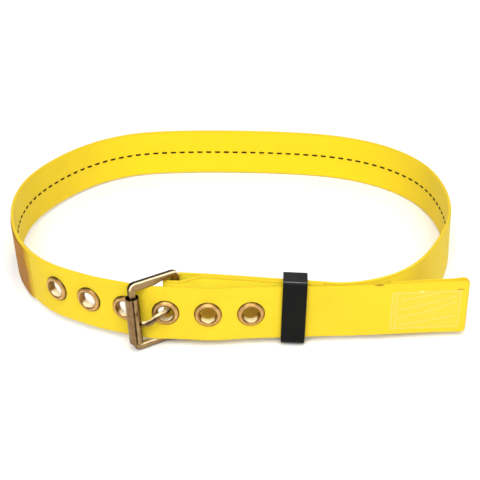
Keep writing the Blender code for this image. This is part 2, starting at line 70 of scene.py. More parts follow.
# The middle of the strap's lower edge on plan, and how far its top edge leans in towards the waist
STRAP_RUN = (
    # x, y, lean
    # From the bar along the front, behind the free end
    (-43.0, -123.2, 3.0),
    (-33.0, -123.6, 3.0),
    (-7.0, -125.7, 2.5),
    (20.0, -128.4, 1.8),
    (45.0, -131.1, 1.2),
    (70.0, -133.4, 0.4),
    (84.0, -134.7, 0.4),
    (98.0, -133.1, 0.4),
    (111.0, -129.1, 0.3),
    (126.8, -122.6, 1.4),
    # Right bend and side
    (143.8, -109.8, 2.4),
    (162.8, -85.1, 3.2),
    (178.3, -52.8, 2.8),
    (186.0, -27.8, 2.0),
    (189.0, 22.4, 0.7),
    (176.9, 72.2, 0.6),
    # Back
    (143.6, 110.7, 0.0),
    (99.5, 131.7, -0.4),
    (56.0, 139.4, -0.8),
    (0.0, 143.2, -0.8),
    (-57.0, 142.2, -0.8),
    (-98.0, 135.2, -0.5),
    (-134.9, 113.2, -0.6),
    # Left side and bend
    (-162.8, 79.2, -1.1),
    (-181.2, 37.7, -1.3),
    (-184.6, -7.0, -1.3),
    (-175.1, -51.5, -1.2),
    (-163.2, -76.0, -1.6),
    (-146.6, -99.5, -0.1),
    # From the first grommet, past the roller and over the bar, to the keeper
    (-130.2, -113.0, 1.0),
    (-114.8, -121.4, 1.2),
    (-100.0, -128.9, 2.0),
    (-77.5, -137.0, 2.6),
    (-66.0, -141.0, 2.8),
    (-47.0, -143.0, 3.0),
    (-31.0, -144.0, 2.8),
    (-15.0, -145.2, 2.4),
    (7.0, -143.3, 2.0),
    (25.0, -142.0, 1.6),
    (55.0, -140.6, 0.7),
    # Free tail, over the end of the sewn ply and on to the hem
    (71.5, -139.7, 0.4),
    (86.0, -139.2, 0.4),
    (103.0, -138.4, 0.7),
    (122.0, -137.0, 1.2),
    (140.0, -135.6, 1.6),
    (159.0, -134.4, 1.8),
    (178.2, -133.6, 2.0),
)
LOOP_RADIUS = 5.8
LOOP_SPREAD_END = -37.0
LOOP_CLOSED_AT = -19.0
SEWN_PLY_END = 71.5
HEM_LENGTH = 57.0
HEM_FOLD_RADIUS = 2.2
HEM_PUFF_LENGTH = 12.0
HEM_CORNER = 2.4
SAMPLE_STEP = 0.2

# The strap's mesh: its cross section, and how far apart the sections are
EDGE_ROUND = 1.2
FACE_STEPS = 24
EDGE_STEPS = 7
LONGEST_STATION = 1.6
SHARPEST_STATION = math.radians(6.0)

# The way round a cross section goes up the outer face, over the top edge and down the waist face.
# The faces: from, to, soft border.
FACE_LENGTH = STRAP_WIDTH - 2.0 * EDGE_ROUND
EDGE_LENGTH = 3.9
OUTER_FACE = (0.0, FACE_LENGTH, 1.2)
WAIST_FACE = (FACE_LENGTH + EDGE_LENGTH, 2.0 * FACE_LENGTH + EDGE_LENGTH, 1.2)
TOP_EDGE_MIDDLE = FACE_LENGTH + EDGE_LENGTH / 2.0

# The weave: how wide a chevron is, how steep, and how close its ribs are, in radians a millimetre
CHEVRON_WIDTH = 5.7
CHEVRON_SLOPE = 3.6
TWILL_TURN = 4.2

# How far from the middle of the top edge its deeper colour ends and is whole
EDGE_WORN = (2.2, 1.4)
# The edges left pale past the keeper, as part of the painted light behind the tail, by length from the loop:
# from, to, soft border
LIT_HOLLOW_EDGES = (85.0, 210.0, 20.0)

# The hem's fuzzy seam, by length back from the fold and by the way round: from, to, soft border
HEM_FUZZ_ALONG = (1.5, 57.5, 3.0)
HEM_FUZZ_AROUND = (2.5, 38.5, 2.5)
# How far from the fold's tip its painted shade ends and is whole
HEM_FOLD_DARK = (1.8, 0.3)
# A painted shadow in a small crease at the top edge, a nick and a knot on the hem: back from the fold, round,
# half length, half height, colour
HEM_MARKS = (
    (66.0, 44.2, 4.4, 0.9, (0.30, 0.15, 0.010)),
    (4.0, 37.4, 3.2, 0.7, (0.42, 0.24, 0.012)),
    (33.0, 36.2, 2.0, 1.3, (0.92, 0.72, 0.30)),
)

# The ends of the strap's back, where its waist side is a paler yellow
BACK_FROM = (186.0, 50.0)
BACK_TO = (-160.0, 82.0)
BACK_FADE = 90.0

# Where the free tail, and before it the sewn ply, covers the strap's outside: painted light there brightens
# the shaded hollow between the plies
TAIL_FROM = (40.0, -130.7)
TAIL_TO = (148.0, -105.0)
LIT_HOLLOW_FADE = 30.0
SEWN_FADE = 6.0

# Painted shade on the sewn end, where it shows through the grommet holes: how far behind a grommet and how
# far below its middle it is
HOLE_SHADE_BEHIND = 14.0
HOLE_SHADE_LOW = 8.0
HOLE_SHADE_RADIUS = 9.5 * MM
HOLE_SHADE_FADE = 3.0 * MM
HOLE_SHADE_DEPTH = 0.8

# Grommets
GROMMET_COUNT = 6
GROMMET_PITCH = 31.75
GROMMET_SPREAD = 0.22
FASTENED_GROMMET = 4
FASTENED_GROMMET_X = -47.7
GROMMET_FLAT = 22.0
FIRST_GROMMET_RISE = 1.9
LAST_GROMMET_RISE = 0.1
GROMMET_HOLE_RADIUS = 7.4
HOLE_SIDES = 48
GROMMET_STEPS = 72
WALL_STEPS = 4
PRESS_RADIUS = 10.8
PRESS_REACH = 6.0
PRESS_STRETCH = 1.5
# A grommet's rolled wall: r from its axis, n out from the middle of the strap, how bright it is, with painted
# shade in the barrel and along the rim's outline, and how much painted highlight it gets where it looks up
GROMMET_WALL = (
    # r, n, polish with painted shade, painted highlight
    (6.10, -2.0, 0.25, 0.8),
    (6.10, 0.0, 0.28, 0.85),
    (6.12, 1.5, 0.30, 0.85),
    (6.25, 2.4, 0.42, 0.7),
    (6.55, 2.95, 0.30, 0.20),
    (6.95, 3.3, 0.18, 0.05),
    (7.40, 3.46, 0.48, 0.0),
    (7.90, 3.5, 0.60, 0.0),
    (8.50, 3.3, 0.64, -0.06),
    (9.20, 2.85, 0.58, -0.12),
    (9.80, 2.35, 0.40, -0.15),
    (10.15, 2.0, 0.10, 0.0),
    (10.37, 1.7, 0.0, 0.0),
    (10.40, 1.45, 0.0, 0.0),
    (10.15, 1.36, 0.0, 0.0),
    (7.10, 1.34, 0.0, 0.0),
    (7.00, 0.0, 0.0, 0.0),
    (7.10, -1.34, 0.0, 0.0),
    (9.50, -1.36, 0.0, 0.0),
    (9.75, -1.6, 0.20, 0.0),
    (9.30, -2.3, 0.55, 0.0),
    (8.30, -2.9, 0.70, 0.0),
    (7.20, -3.0, 0.60, 0.0),
    (6.45, -2.65, 0.40, 0.4),
)

# Buckle
FRAME_HEIGHT = 52.5
FRAME_LENGTH = 37.0
FRAME_CORNER = 2.8
FRAME_BAR_WIDTH = 5.0
FRAME_BAR_DEPTH = 5.2
FRAME_BAR_ROUND = 1.4
FRAME_STEP = 0.7
FRAME_BAR_STEP = 0.35
FRAME_TURN = math.radians(31.2)
FRAME_LEAN = math.radians(4.35)
FRAME_MIDDLE = (-55.3, -137.7)
# How much thicker the upper arm is inside, where on local X that starts, how far it takes to grow, and how
# far below the arm's middle it ends
ARM_SWELL = 1.7
SWELL_FROM = 7.5
SWELL_OVER = 9.0
SWELL_LOW = 1.5

ROLLER_RADIUS = 5.2
ROLLER_WALL = 0.9
ROLLER_LENGTH = 38.8
ROLLER_ABOVE_ARM = 4.4
ROLLER_SEAM = math.radians(4.0)
ROLLER_SEAM_AT = math.radians(107.0)
# The angle round the roller that faces the front: painted shade darkens the sides that turn away from it
ROLLER_LIT_AT = math.radians(121.0)
ROLLER_SIDES = 91
# How far from each end its closest rings are, where the even ones start, and how many of those there are
ROLLER_ENDS = (0.0, 0.12, 0.35, 0.8, 2.5)
ROLLER_EVEN_FROM = 4.0
ROLLER_EVEN_RINGS = 20
# The share of its wall left at the very ends, how far it takes to reach the whole, and how round its lips are
ROLLER_END_WALL = 0.55
ROLLER_END_ROUND = 0.35
LIP_BULGE = 0.4
LIP_STEPS = 9
# The painted highlight stripe before the seam, between two angles from it
ROLLER_HIGHLIGHT_STRIPE = (0.55, 0.12)
# A dark spot: its angle from the seam and how far up the roller it is
DARK_SPOT_FROM_SEAM = 0.38
DARK_SPOT_UP = 26.5

TONGUE_EYE_RADIUS = 5.1
TONGUE_EYE_START = math.radians(-98.0)
TONGUE_EYE_END = math.radians(180.0)
TONGUE_EYE_THICK = 3.0
TONGUE_EYE_HEIGHT = 23.0
TONGUE_EYE_ROWS = 17
TONGUE_SIDES = 40
# How far from each end its closest rings are, the last one where the rounded end begins, where the even
# ones start, how many of those there are, and the share of its thickness left at the very ends
TONGUE_ENDS = (0.0, 0.15, 0.4, 0.8)
TONGUE_EVEN_FROM = 1.3
TONGUE_EVEN_RINGS = 110
TONGUE_END_SHARE = 0.6
TONGUE_RUN = (
    # x, y, height over the strap's lower edge, thickness
    (-44.7, -132.0, 23.4, 3.4),
    (-45.6, -137.0, 24.0, 4.0),
    (-47.0, -142.2, 24.4, 4.3),
    (-49.8, -147.0, 25.4, 4.4),
    (-53.4, -149.4, 24.2, 4.5),
    (-57.4, -149.8, 20.4, 4.4),
    (-61.5, -148.8, 17.9, 4.4),
    (-64.0, -148.8, 17.5, 4.3),
    (-65.45, -149.0, 17.4, 4.2),
)
# Along the tongue from its tip: how far a dark line runs, and where painted shade starts behind its grommet
TONGUE_DARK_LINE_REACH = 17.0
TONGUE_DARK_LINE_AT = math.radians(152.0)
# Where round the tongue its painted highlight near the tip lies
TONGUE_GLINT_AT = math.radians(98.0)
TONGUE_SHADED = 24.0
SLOT_HEIGHT = 5.6
SLOT_LEFT = -56.0
SLOT_RIGHT = -31.0
SLOT_FRONT = -137.2
SLOT_BACK = -112.0

# Keeper
KEEPER_MIDDLE = (49.0, -136.0)
KEEPER_WIDTH = 18.2
KEEPER_OPENING_DEPTH = 15.4
KEEPER_OPENING_HEIGHT = 50.2
KEEPER_RISE = 1.4
KEEPER_WALL = 1.6
KEEPER_CORNER = 2.4
KEEPER_STEP = 0.8
KEEPER_EDGE_ROUND = 0.45
KEEPER_EDGE_STEP = 0.5
KEEPER_TURN = math.radians(-3.0)
KEEPER_LEAN = math.radians(1.5)
KEEPER_ROLL = math.radians(1.2)
KEEPER_SAG = 1.0
# The painted highlight along the top's front corner: how far round that corner it runs, in radians, the way
# round the loop to there, and how far from there it ends and is whole
KEEPER_HIGHLIGHT_TURN = 0.3
KEEPER_HIGHLIGHT_PLACE = KEEPER_OPENING_DEPTH + KEEPER_WALL + (math.pi / 2.0 - 2.0 + KEEPER_HIGHLIGHT_TURN) * KEEPER_CORNER
KEEPER_HIGHLIGHT_REACH = (0.55, 0.15)

# Patch
PATCH_FRONT_TO_GROMMET = 33.6
PATCH_LENGTH = 80.0
PATCH_THICK = 0.8
PATCH_LOW = -0.7
PATCH_HIGH = 43.0
PATCH_GAP = 0.3
PATCH_RINGS = 81
PATCH_EDGE_ROUND = 0.3
PATCH_EDGE_STEP = 0.9
# How far its pared front and back edges reach, and the share of its thickness and gap left at the very edge
PATCH_SKIVED = 8.0
PATCH_BACK_SKIVED = 60.0
PATCH_EDGE = 0.15
# How far from its back edge the patch's painted shade starts, and where it is darkest
PATCH_SHADE_ALONG = (38.0, 18.0)

# How much painted shade metal gets where it looks down, and the angle from which an edge is shaded sharp
UNDERSIDE_SHADE = 0.2
SHARP_FROM = math.radians(45.0)

# Webbing: its two shades, the back's waist side, the painted light under the tail, on the sewn end and under
# it, the painted shade seen through the grommet holes, the woven edges, the hem's fuzz and the painted shade
# on its fold, and the painted shade in the hollows of the weave
WEBBING_TONES = ((0.72, 0.520, 0.017), (0.80, 0.590, 0.023))
WEBBING_BACK = (0.84, 0.625, 0.012)
WEBBING_LIT_UNDER_TAIL = (0.98, 0.81, 0.038)
WEBBING_LIT_SEWN = (1.0, 0.88, 0.048)
WEBBING_HOLE_SHADE = (0.60, 0.31, 0.06)
WEBBING_EDGE = (0.70, 0.48, 0.012)
WEBBING_FUZZ = (0.76, 0.56, 0.062)
WEBBING_FOLD = (0.48, 0.25, 0.012)
WEBBING_SHADE = (0.55, 0.33, 0.008)

# Brass tones from tarnish and painted shade, through brown and tan, to rubbed brass and painted highlights,
# and the level of polish and painted light at each
BRASS_STOPS = (0.0, 0.3, 0.62, 1.0)
BUCKLE_TONES = ((0.014, 0.008, 0.004), (0.20, 0.115, 0.050), (0.36, 0.24, 0.11), (0.84, 0.72, 0.44))
GROMMET_TONES = ((0.05, 0.030, 0.008), (0.27, 0.145, 0.035), (0.60, 0.34, 0.12), (0.95, 0.82, 0.52))

KEEPER_TONES = ((0.002, 0.002, 0.002), (0.006, 0.006, 0.006))
KEEPER_HIGHLIGHT = (0.16, 0.16, 0.16)
PATCH_TONES = ((0.35, 0.142, 0.012), (0.43, 0.182, 0.017))
PATCH_FADED = (0.74, 0.49, 0.022)
PATCH_SHADE = (0.13, 0.065, 0.018)
PATCH_CREASED = (0.22, 0.10, 0.03)
DARK_THREAD_TONES = ((0.012, 0.005, 0.002), (0.034, 0.015, 0.005))
PALE_THREAD_TONES = ((0.76, 0.55, 0.09), (0.84, 0.66, 0.17))

# Stitches: how far along a stitch each of its rings is, and how far off the strap, by the thread's half width
STITCH_SHARES = (0.0, 0.1, 0.25, 0.5, 0.75, 0.9, 1.0)
STITCH_LIFTS = (-1.3, -0.05, 0.28, 0.32, 0.28, -0.05, -1.3)
STITCH_SIDES = 8
ROW_PITCH = 8.85
ROW_DASH = 5.6
ROW_THREAD = 0.85
ROW_FROM_GROMMET = 24.0
THREAD_PRESSED = 0.5
# The thread's twist, in radians a millimetre along it and round it
THREAD_TWIST = (5.2, 3.0)
SEAM_PITCH = 3.1
SEAM_DASH = 2.8
SEAM_THREAD = 0.5
# Rows of the hem's seam, from the free end back along the strap and up from its lower edge
HEM_SEAM = (
    # from the end, up, from the end, up
    (55.5, 5.6, 55.5, 37.2),
    (52.2, 5.6, 52.2, 37.2),
    (55.5, 37.2, 3.6, 37.0),
    (55.5, 5.6, 3.6, 5.6),
    (3.6, 5.8, 3.6, 37.0),
    (51.5, 14.0, 45.5, 16.3),
    (45.5, 16.3, 24.4, 20.8),
    (24.4, 20.8, 6.0, 28.0),
    (48.0, 8.8, 30.8, 11.4),
    (30.8, 11.4, 6.0, 15.4),
    (50.0, 22.4, 25.0, 27.4),
    (25.0, 27.4, 6.0, 32.6),
    (48.0, 30.4, 20.0, 36.2),
)
# Rows of the sewn end's seam, on the table's x
END_SEAM = (
    # x, up, x, up
    (26.0, 6.0, 68.0, 6.0),
    (26.0, 34.0, 68.0, 34.0),
    (68.0, 6.0, 68.0, 34.0),
    (26.0, 6.0, 26.0, 34.0),
    (26.0, 6.0, 68.0, 34.0),
    (26.0, 34.0, 68.0, 6.0),
)

# Studio, in metres: the lights, where they aim, how bright the room is by height, and the floor
LIGHTS = (
    # name, place, size, power
    ("key", (-0.7, -1.85, 1.95), 0.9, 19.0),
    ("fill", (0.8, -2.0, 1.6), 1.2, 12.5),
    ("top", (0.1, -1.0, 2.4), 2.0, 40.0),
    ("back", (0.3, 2.3, 1.5), 1.6, 12.0),
)
LIGHTS_AIM = (0.0, 0.0, 0.02)
ROOM_TONES = ((0.0, 1.0), (0.2, 0.96), (0.32, 0.40), (0.55, 0.42), (0.85, 0.6))
FLOOR_TONES = ((0.90, 0.90, 0.90), (0.93, 0.93, 0.925))
FLOOR_RADIUS = 1.6
FLOOR_DROP = 0.0003


# Paths on plan


def natural_spline(points, samples_at):
    """A natural cubic through the points, its knots a chord length apart, read at the given lengths."""
    points = np.asarray(points, dtype=float)
    knots = chord_lengths(points[:, :2])
    gap = np.diff(knots)
    matrix = np.diag([1.0, *2.0 * (gap[:-1] + gap[1:]), 1.0])
    matrix += np.diag([*gap[:-1], 0.0], -1) + np.diag([0.0, *gap[1:]], 1)
    right = np.zeros_like(points)
    right[1:-1] = 6.0 * np.diff(np.diff(points, axis=0) / gap[:, None], axis=0)
    bend = np.linalg.solve(matrix, right)
    span = np.clip(np.searchsorted(knots, samples_at, side="right") - 1, 0, len(gap) - 1)
    width = gap[span][:, None]
    after = (samples_at - knots[span])[:, None]
    before = width - after
    return (
        bend[span] * before**3 / (6.0 * width)
        + bend[span + 1] * after**3 / (6.0 * width)
        + (points[span] / width - bend[span] * width / 6.0) * before
        + (points[span + 1] / width - bend[span + 1] * width / 6.0) * after
    )


def chord_lengths(points):
    steps = np.linalg.norm(np.diff(points, axis=0), axis=1)
    return np.concatenate([[0.0], np.cumsum(steps)])


def left_normals(points):
    """Unit normals to the left of the way along a line: towards the waist on this belt."""
    along = np.gradient(points, axis=0)
    along /= np.linalg.norm(along, axis=1)[:, None]
    return np.column_stack([-along[:, 1], along[:, 0]])


def smooth_step(value):
    value = np.clip(value, 0.0, 1.0)
    return value * value * (3.0 - 2.0 * value)


def bell(value, middle, width):
    """One at the middle, falling to nothing a few widths away."""
    return np.exp(-(((value - middle) / width) ** 2))


def unit(vectors):
    vectors = np.asarray(vectors, dtype=float)
    return vectors / np.linalg.norm(vectors, axis=-1, keepdims=True)


def strap_run():
    """Points along the strap from the bar to the hem, with the way each point's top edge leans."""
    rows = np.array(STRAP_RUN)
    lengths = np.arange(0.0, chord_lengths(rows[:, :2])[-1], SAMPLE_STEP)
    line = natural_spline(rows, lengths)
    points = line[:, :2]
    return points, left_normals(points) * line[:, 2:]


def bar_loop(points, lean):
    """Half a circle from the front of the bar round its left side to the strap's first point."""
    inward = left_normals(points)[0]
    along = np.array([inward[1], -inward[0]])
    middle = points[0] - LOOP_RADIUS * inward
    angles = np.linspace(0.0, math.pi, round(math.pi * LOOP_RADIUS / SAMPLE_STEP))
    loop = middle - LOOP_RADIUS * (np.outer(np.cos(angles), inward) + np.outer(np.sin(angles), along))
    return loop, np.tile(lean, (len(loop), 1))


def sewn_ply(points, leans):
    """The ply sewn back on the strap's outside, spread round the bar at its left end."""
    count = np.argmax(points[:, 0] > SEWN_PLY_END)
    spread = smooth_step((LOOP_CLOSED_AT - points[:count, 0]) / (LOOP_CLOSED_AT - LOOP_SPREAD_END))
    offset = PLY_PITCH + (2.0 * LOOP_RADIUS - PLY_PITCH) * spread
    ply = points[:count] - left_normals(points)[:count] * offset[:, None]
    return ply[::-1], leans[:count][::-1]


def hem(points, leans):
    """The round fold at the free end and the ply that it turns back on the waist side."""
    inward = left_normals(points)
    along = unit(points[-1] - points[-2])
    middle = points[-1] + inward[-1] * HEM_FOLD_RADIUS
    angles = np.linspace(0.0, math.pi, round(math.pi * HEM_FOLD_RADIUS / SAMPLE_STEP))[1:-1]
    fold = middle + HEM_FOLD_RADIUS * (np.outer(np.sin(angles), along) - np.outer(np.cos(angles), inward[-1]))
    kept = round(HEM_LENGTH / SAMPLE_STEP)
    from_end = np.arange(kept)[::-1] * SAMPLE_STEP
    puff = smooth_step(1.0 - from_end / HEM_PUFF_LENGTH)
    offset = PLY_PITCH + (2.0 * HEM_FOLD_RADIUS - PLY_PITCH) * puff
    ply = points[-kept:] + inward[-kept:] * offset[:, None]
    turned = np.tile(leans[-1], (len(fold), 1))
    return np.vstack([fold, ply[::-1]]), np.vstack([turned, leans[-kept:][::-1]])


def edge_height(points, run):
    """Height of the strap's lower edge over the floor: a plane that just touches it at the back."""
    slope = -np.array([EDGE_RISE_LEFT, EDGE_RISE_FRONT])
    return points[..., :2] @ slope - (run @ slope).min()


class Strap:
    """The whole strap as one line, and the place of anything on it."""

    def __init__(self):
        run, run_leans = strap_run()
        loop, loop_leans = bar_loop(run, run_leans[0])
        ply, ply_leans = sewn_ply(run, run_leans)
        end, end_leans = hem(run, run_leans)
        plan = np.vstack([ply[:-1], loop[:-1], run, end])
        leans = np.vstack([ply_leans[:-1], loop_leans[:-1], run_leans, end_leans])
        first = len(ply) + len(loop) - 2
        half_way = first + len(run) // 2
        self.way_out = slice(first, half_way)
        self.way_back = slice(half_way, first + len(run))
        self.run = run
        self.length = chord_lengths(plan)
        self.sewn = self.length[first]
        self.end = self.length[first + len(run) - 1]
        self.base = np.column_stack([plan, edge_height(plan, run)])
        self.up = np.column_stack([leans, np.full(len(plan), STRAP_WIDTH)]) / STRAP_WIDTH
        self.out = unit(np.cross(np.gradient(self.base, axis=0), self.up))

    def place(self, length, up, out):
        """Points at these lengths along the strap, up it from its lower edge and out from its middle."""
        base = self.read(self.base, length)
        rise = self.read(self.up, length) * np.asarray(up)[..., None]
        return base + rise + unit(self.read(self.out, length)) * np.asarray(out)[..., None]

    def read(self, rows, length):
        return np.stack([np.interp(length, self.length, rows[:, axis]) for axis in range(3)], axis=-1)

    def length_at_x(self, x, free_end):
        """Length along the strap's front where it passes x, on its way from the bar or on the free end."""
        span = self.way_back if free_end else self.way_out
        away = np.abs(self.base[span, 0] - x) + np.where(self.base[span, 1] < 0.0, 0.0, STRAP_WIDTH)
        return self.length[span][np.argmin(away)]

    def length_near(self, x, y):
        return self.length[np.argmin(np.hypot(self.base[:, 0] - x, self.base[:, 1] - y))]

    def grommet_places(self):
        fastened = self.length_at_x(FASTENED_GROMMET_X, True)
        away = np.arange(GROMMET_COUNT) + 1 - FASTENED_GROMMET
        return fastened + GROMMET_PITCH * away + GROMMET_SPREAD * away**2

    def grommet_frames(self):
        """A matrix for each grommet: Z out of the strap, Y up it, on the middle of its flat."""
        frames = []
        rises = np.linspace(FIRST_GROMMET_RISE, LAST_GROMMET_RISE, GROMMET_COUNT)
        for place, raised in zip(self.grommet_places(), rises):
            ends = [np.argmin(np.abs(self.length - (place + side * GROMMET_FLAT / 2.0))) for side in (-1, 1)]
            low = [Vector(self.base[i]) for i in ends]
            up = Vector(self.up[ends].mean(axis=0)) * STRAP_WIDTH
            along = (low[1] - low[0]).normalized()
            out = along.cross(up).normalized()
            rise = out.cross(along)
            middle = (low[0] + low[1] + up) / 2.0 + rise * raised
            frames.append(Matrix.Translation(middle) @ Matrix((along, rise, out)).transposed().to_4x4())
        return frames


# Meshes


def table_shift(strap):
    """From the tables' origin to the frame's, by the keeper's middle in each."""
    low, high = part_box("keeper")
    height = edge_height(np.array(KEEPER_MIDDLE), strap.run) + STRAP_WIDTH / 2.0 + KEEPER_RISE
    return Vector(np.array((low + high) / 2.0) / MM - np.array((*KEEPER_MIDDLE, height)))


def transformed(matrix, points):
    points = np.asarray(points, dtype=float)
    turn = np.array(matrix.to_3x3())
    return points @ turn.T + np.array(matrix.translation)


def placed(name, data):
    """A new object in the scene with this mesh, camera or light."""
    made = bpy.data.objects.new(name, data)
    bpy.context.scene.collection.objects.link(made)
    return made


def loft(name, rings, looped=False, along=None, around=None, wear_and_light=None):
    """A mesh through rings of points, each a closed cross section, capped at both ends unless it is looped.

    Its map holds millimetres along the rings and around each of them.
    """
    rings = np.asarray(rings, dtype=float)
    count, sides = rings.shape[:2]
    spans = count if looped else count - 1
    first = np.arange(spans)[:, None] * sides
    after = (np.arange(1, spans + 1) % count)[:, None] * sides
    here = np.arange(sides)[None, :]
    beside = (np.arange(1, sides + 1) % sides)[None, :]
    quads = np.stack([first + here, after + here, after + beside, first + beside], axis=-1).reshape(-1, 4)
    faces = quads.tolist()
    if not looped:
        faces.append(list(range(sides)))
        faces.append(list(range((count - 1) * sides, count * sides))[::-1])
    mesh = bpy.data.meshes.new(name)
    mesh.from_pydata((rings.reshape(-1, 3) * MM).tolist(), [], faces)
    add_map(mesh, rings, looped, along, around)
    face_out(mesh)
    if wear_and_light is not None:
        add_wear_and_light(mesh, *(np.broadcast_to(share, (count, sides)).ravel() for share in wear_and_light))
    return placed(name, mesh)


def add_map(mesh, rings, looped, along, around):
    if along is None:
        closed = np.concatenate([rings, rings[:1]]) if looped else rings
        along = chord_lengths(closed.mean(axis=1))
    if around is None:
        ring = rings[len(rings) // 2]
        around = chord_lengths(np.vstack([ring, ring[:1]]))
    u = np.stack([along[:-1], along[1:], along[1:], along[:-1]], axis=-1)[:, None, :]
    v = np.stack([around[:-1], around[:-1], around[1:], around[1:]], axis=-1)[None, :, :]
    corners = np.stack(np.broadcast_arrays(u, v), axis=-1).reshape(-1, 2)
    values = np.zeros((len(mesh.loops), 2), dtype=np.float32)
    values[:len(corners)] = corners
    mesh.uv_layers.new(name="millimetres").uv.foreach_set("vector", values.ravel())


def add_wear_and_light(mesh, polish_and_light, painted_highlight, tarnish_and_shade):
    """How bright the metal is at each point: its polish, with a painted highlight where it looks up and
    painted shade where it looks down, less in tarnish and painted shade.
    """
    normals = np.zeros(len(mesh.vertices) * 3, dtype=np.float32)
    mesh.vertices.foreach_get("normal", normals)
    up = normals.reshape(-1, 3)[:, 2]
    # Painted highlight on faces that look up, painted shade on faces that look down.
    worn_and_lit = polish_and_light + painted_highlight * smooth_step((up - 0.3) / 0.5) - UNDERSIDE_SHADE * smooth_step((-up - 0.2) / 0.6)
    layer = mesh.attributes.new("polish_and_light", "FLOAT", "POINT")
    layer.data.foreach_set("value", (worn_and_lit * (1.0 - tarnish_and_shade)).astype(np.float32))


def face_out(mesh):
    cage = bmesh.new()
    cage.from_mesh(mesh)
    bmesh.ops.recalc_face_normals(cage, faces=cage.faces)
    cage.to_mesh(mesh)
    cage.free()


def finish_piece(piece, material, body, nodes=()):
    """Shades the piece, moves it into the frame, says what it rides on, and hides the solids that it
    replaces.
    """
    piece.data.materials.clear()
    piece.data.materials.append(material)
    piece.data.shade_smooth()
    piece.data.set_sharp_from_angle(angle=SHARP_FROM)
    piece.data.transform(Matrix.Translation(SHIFT * MM))
    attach(piece, body)
    if nodes:
        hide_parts(*nodes)


def rounded_path(width, height, radius, spacing):
    """Points round a rounded rectangle, about this far apart, and the way out of it at each."""
    points, outs = [], []
    corners = ((1, 1, 0.0), (-1, 1, 90.0), (-1, -1, 180.0), (1, -1, 270.0))
    steps = max(4, round(radius * math.pi / 2.0 / spacing))
    for index, (side_x, side_y, first) in enumerate(corners):
        middle = np.array([side_x * (width / 2.0 - radius), side_y * (height / 2.0 - radius)])
        for angle in np.radians(np.linspace(first, first + 90.0, steps + 1)):
            out = np.array([math.cos(angle), math.sin(angle)])
            points.append(middle + radius * out)
            outs.append(out)
        straight = (width if index in (0, 2) else height) - 2.0 * radius
        ahead = np.array([-outs[-1][1], outs[-1][0]])
        pieces = max(1, round(straight / spacing))
        corner = points[-1]
        for step in range(1, pieces):
            points.append(corner + ahead * straight * step / pieces)
            outs.append(outs[-1])
    return np.array(points), np.array(outs)


def swept_rings(path, across, up, section):
    """Rings of a section whose first coordinate runs along `across` and whose second runs along `up`."""
    sideways = section[None, :, :1] * across[:, None, :]
    return path[:, None, :] + sideways + section[None, :, 1:2] * up[:, None, :]


def joined(name, pieces):
    """One object from many, the rest removed."""
    cage = bmesh.new()
    for piece in pieces:
        cage.from_mesh(piece.data)
        bpy.data.objects.remove(piece, do_unlink=True)
    mesh = bpy.data.meshes.new(name)
    cage.to_mesh(mesh)
    cage.free()
    return placed(name, mesh)


# Materials


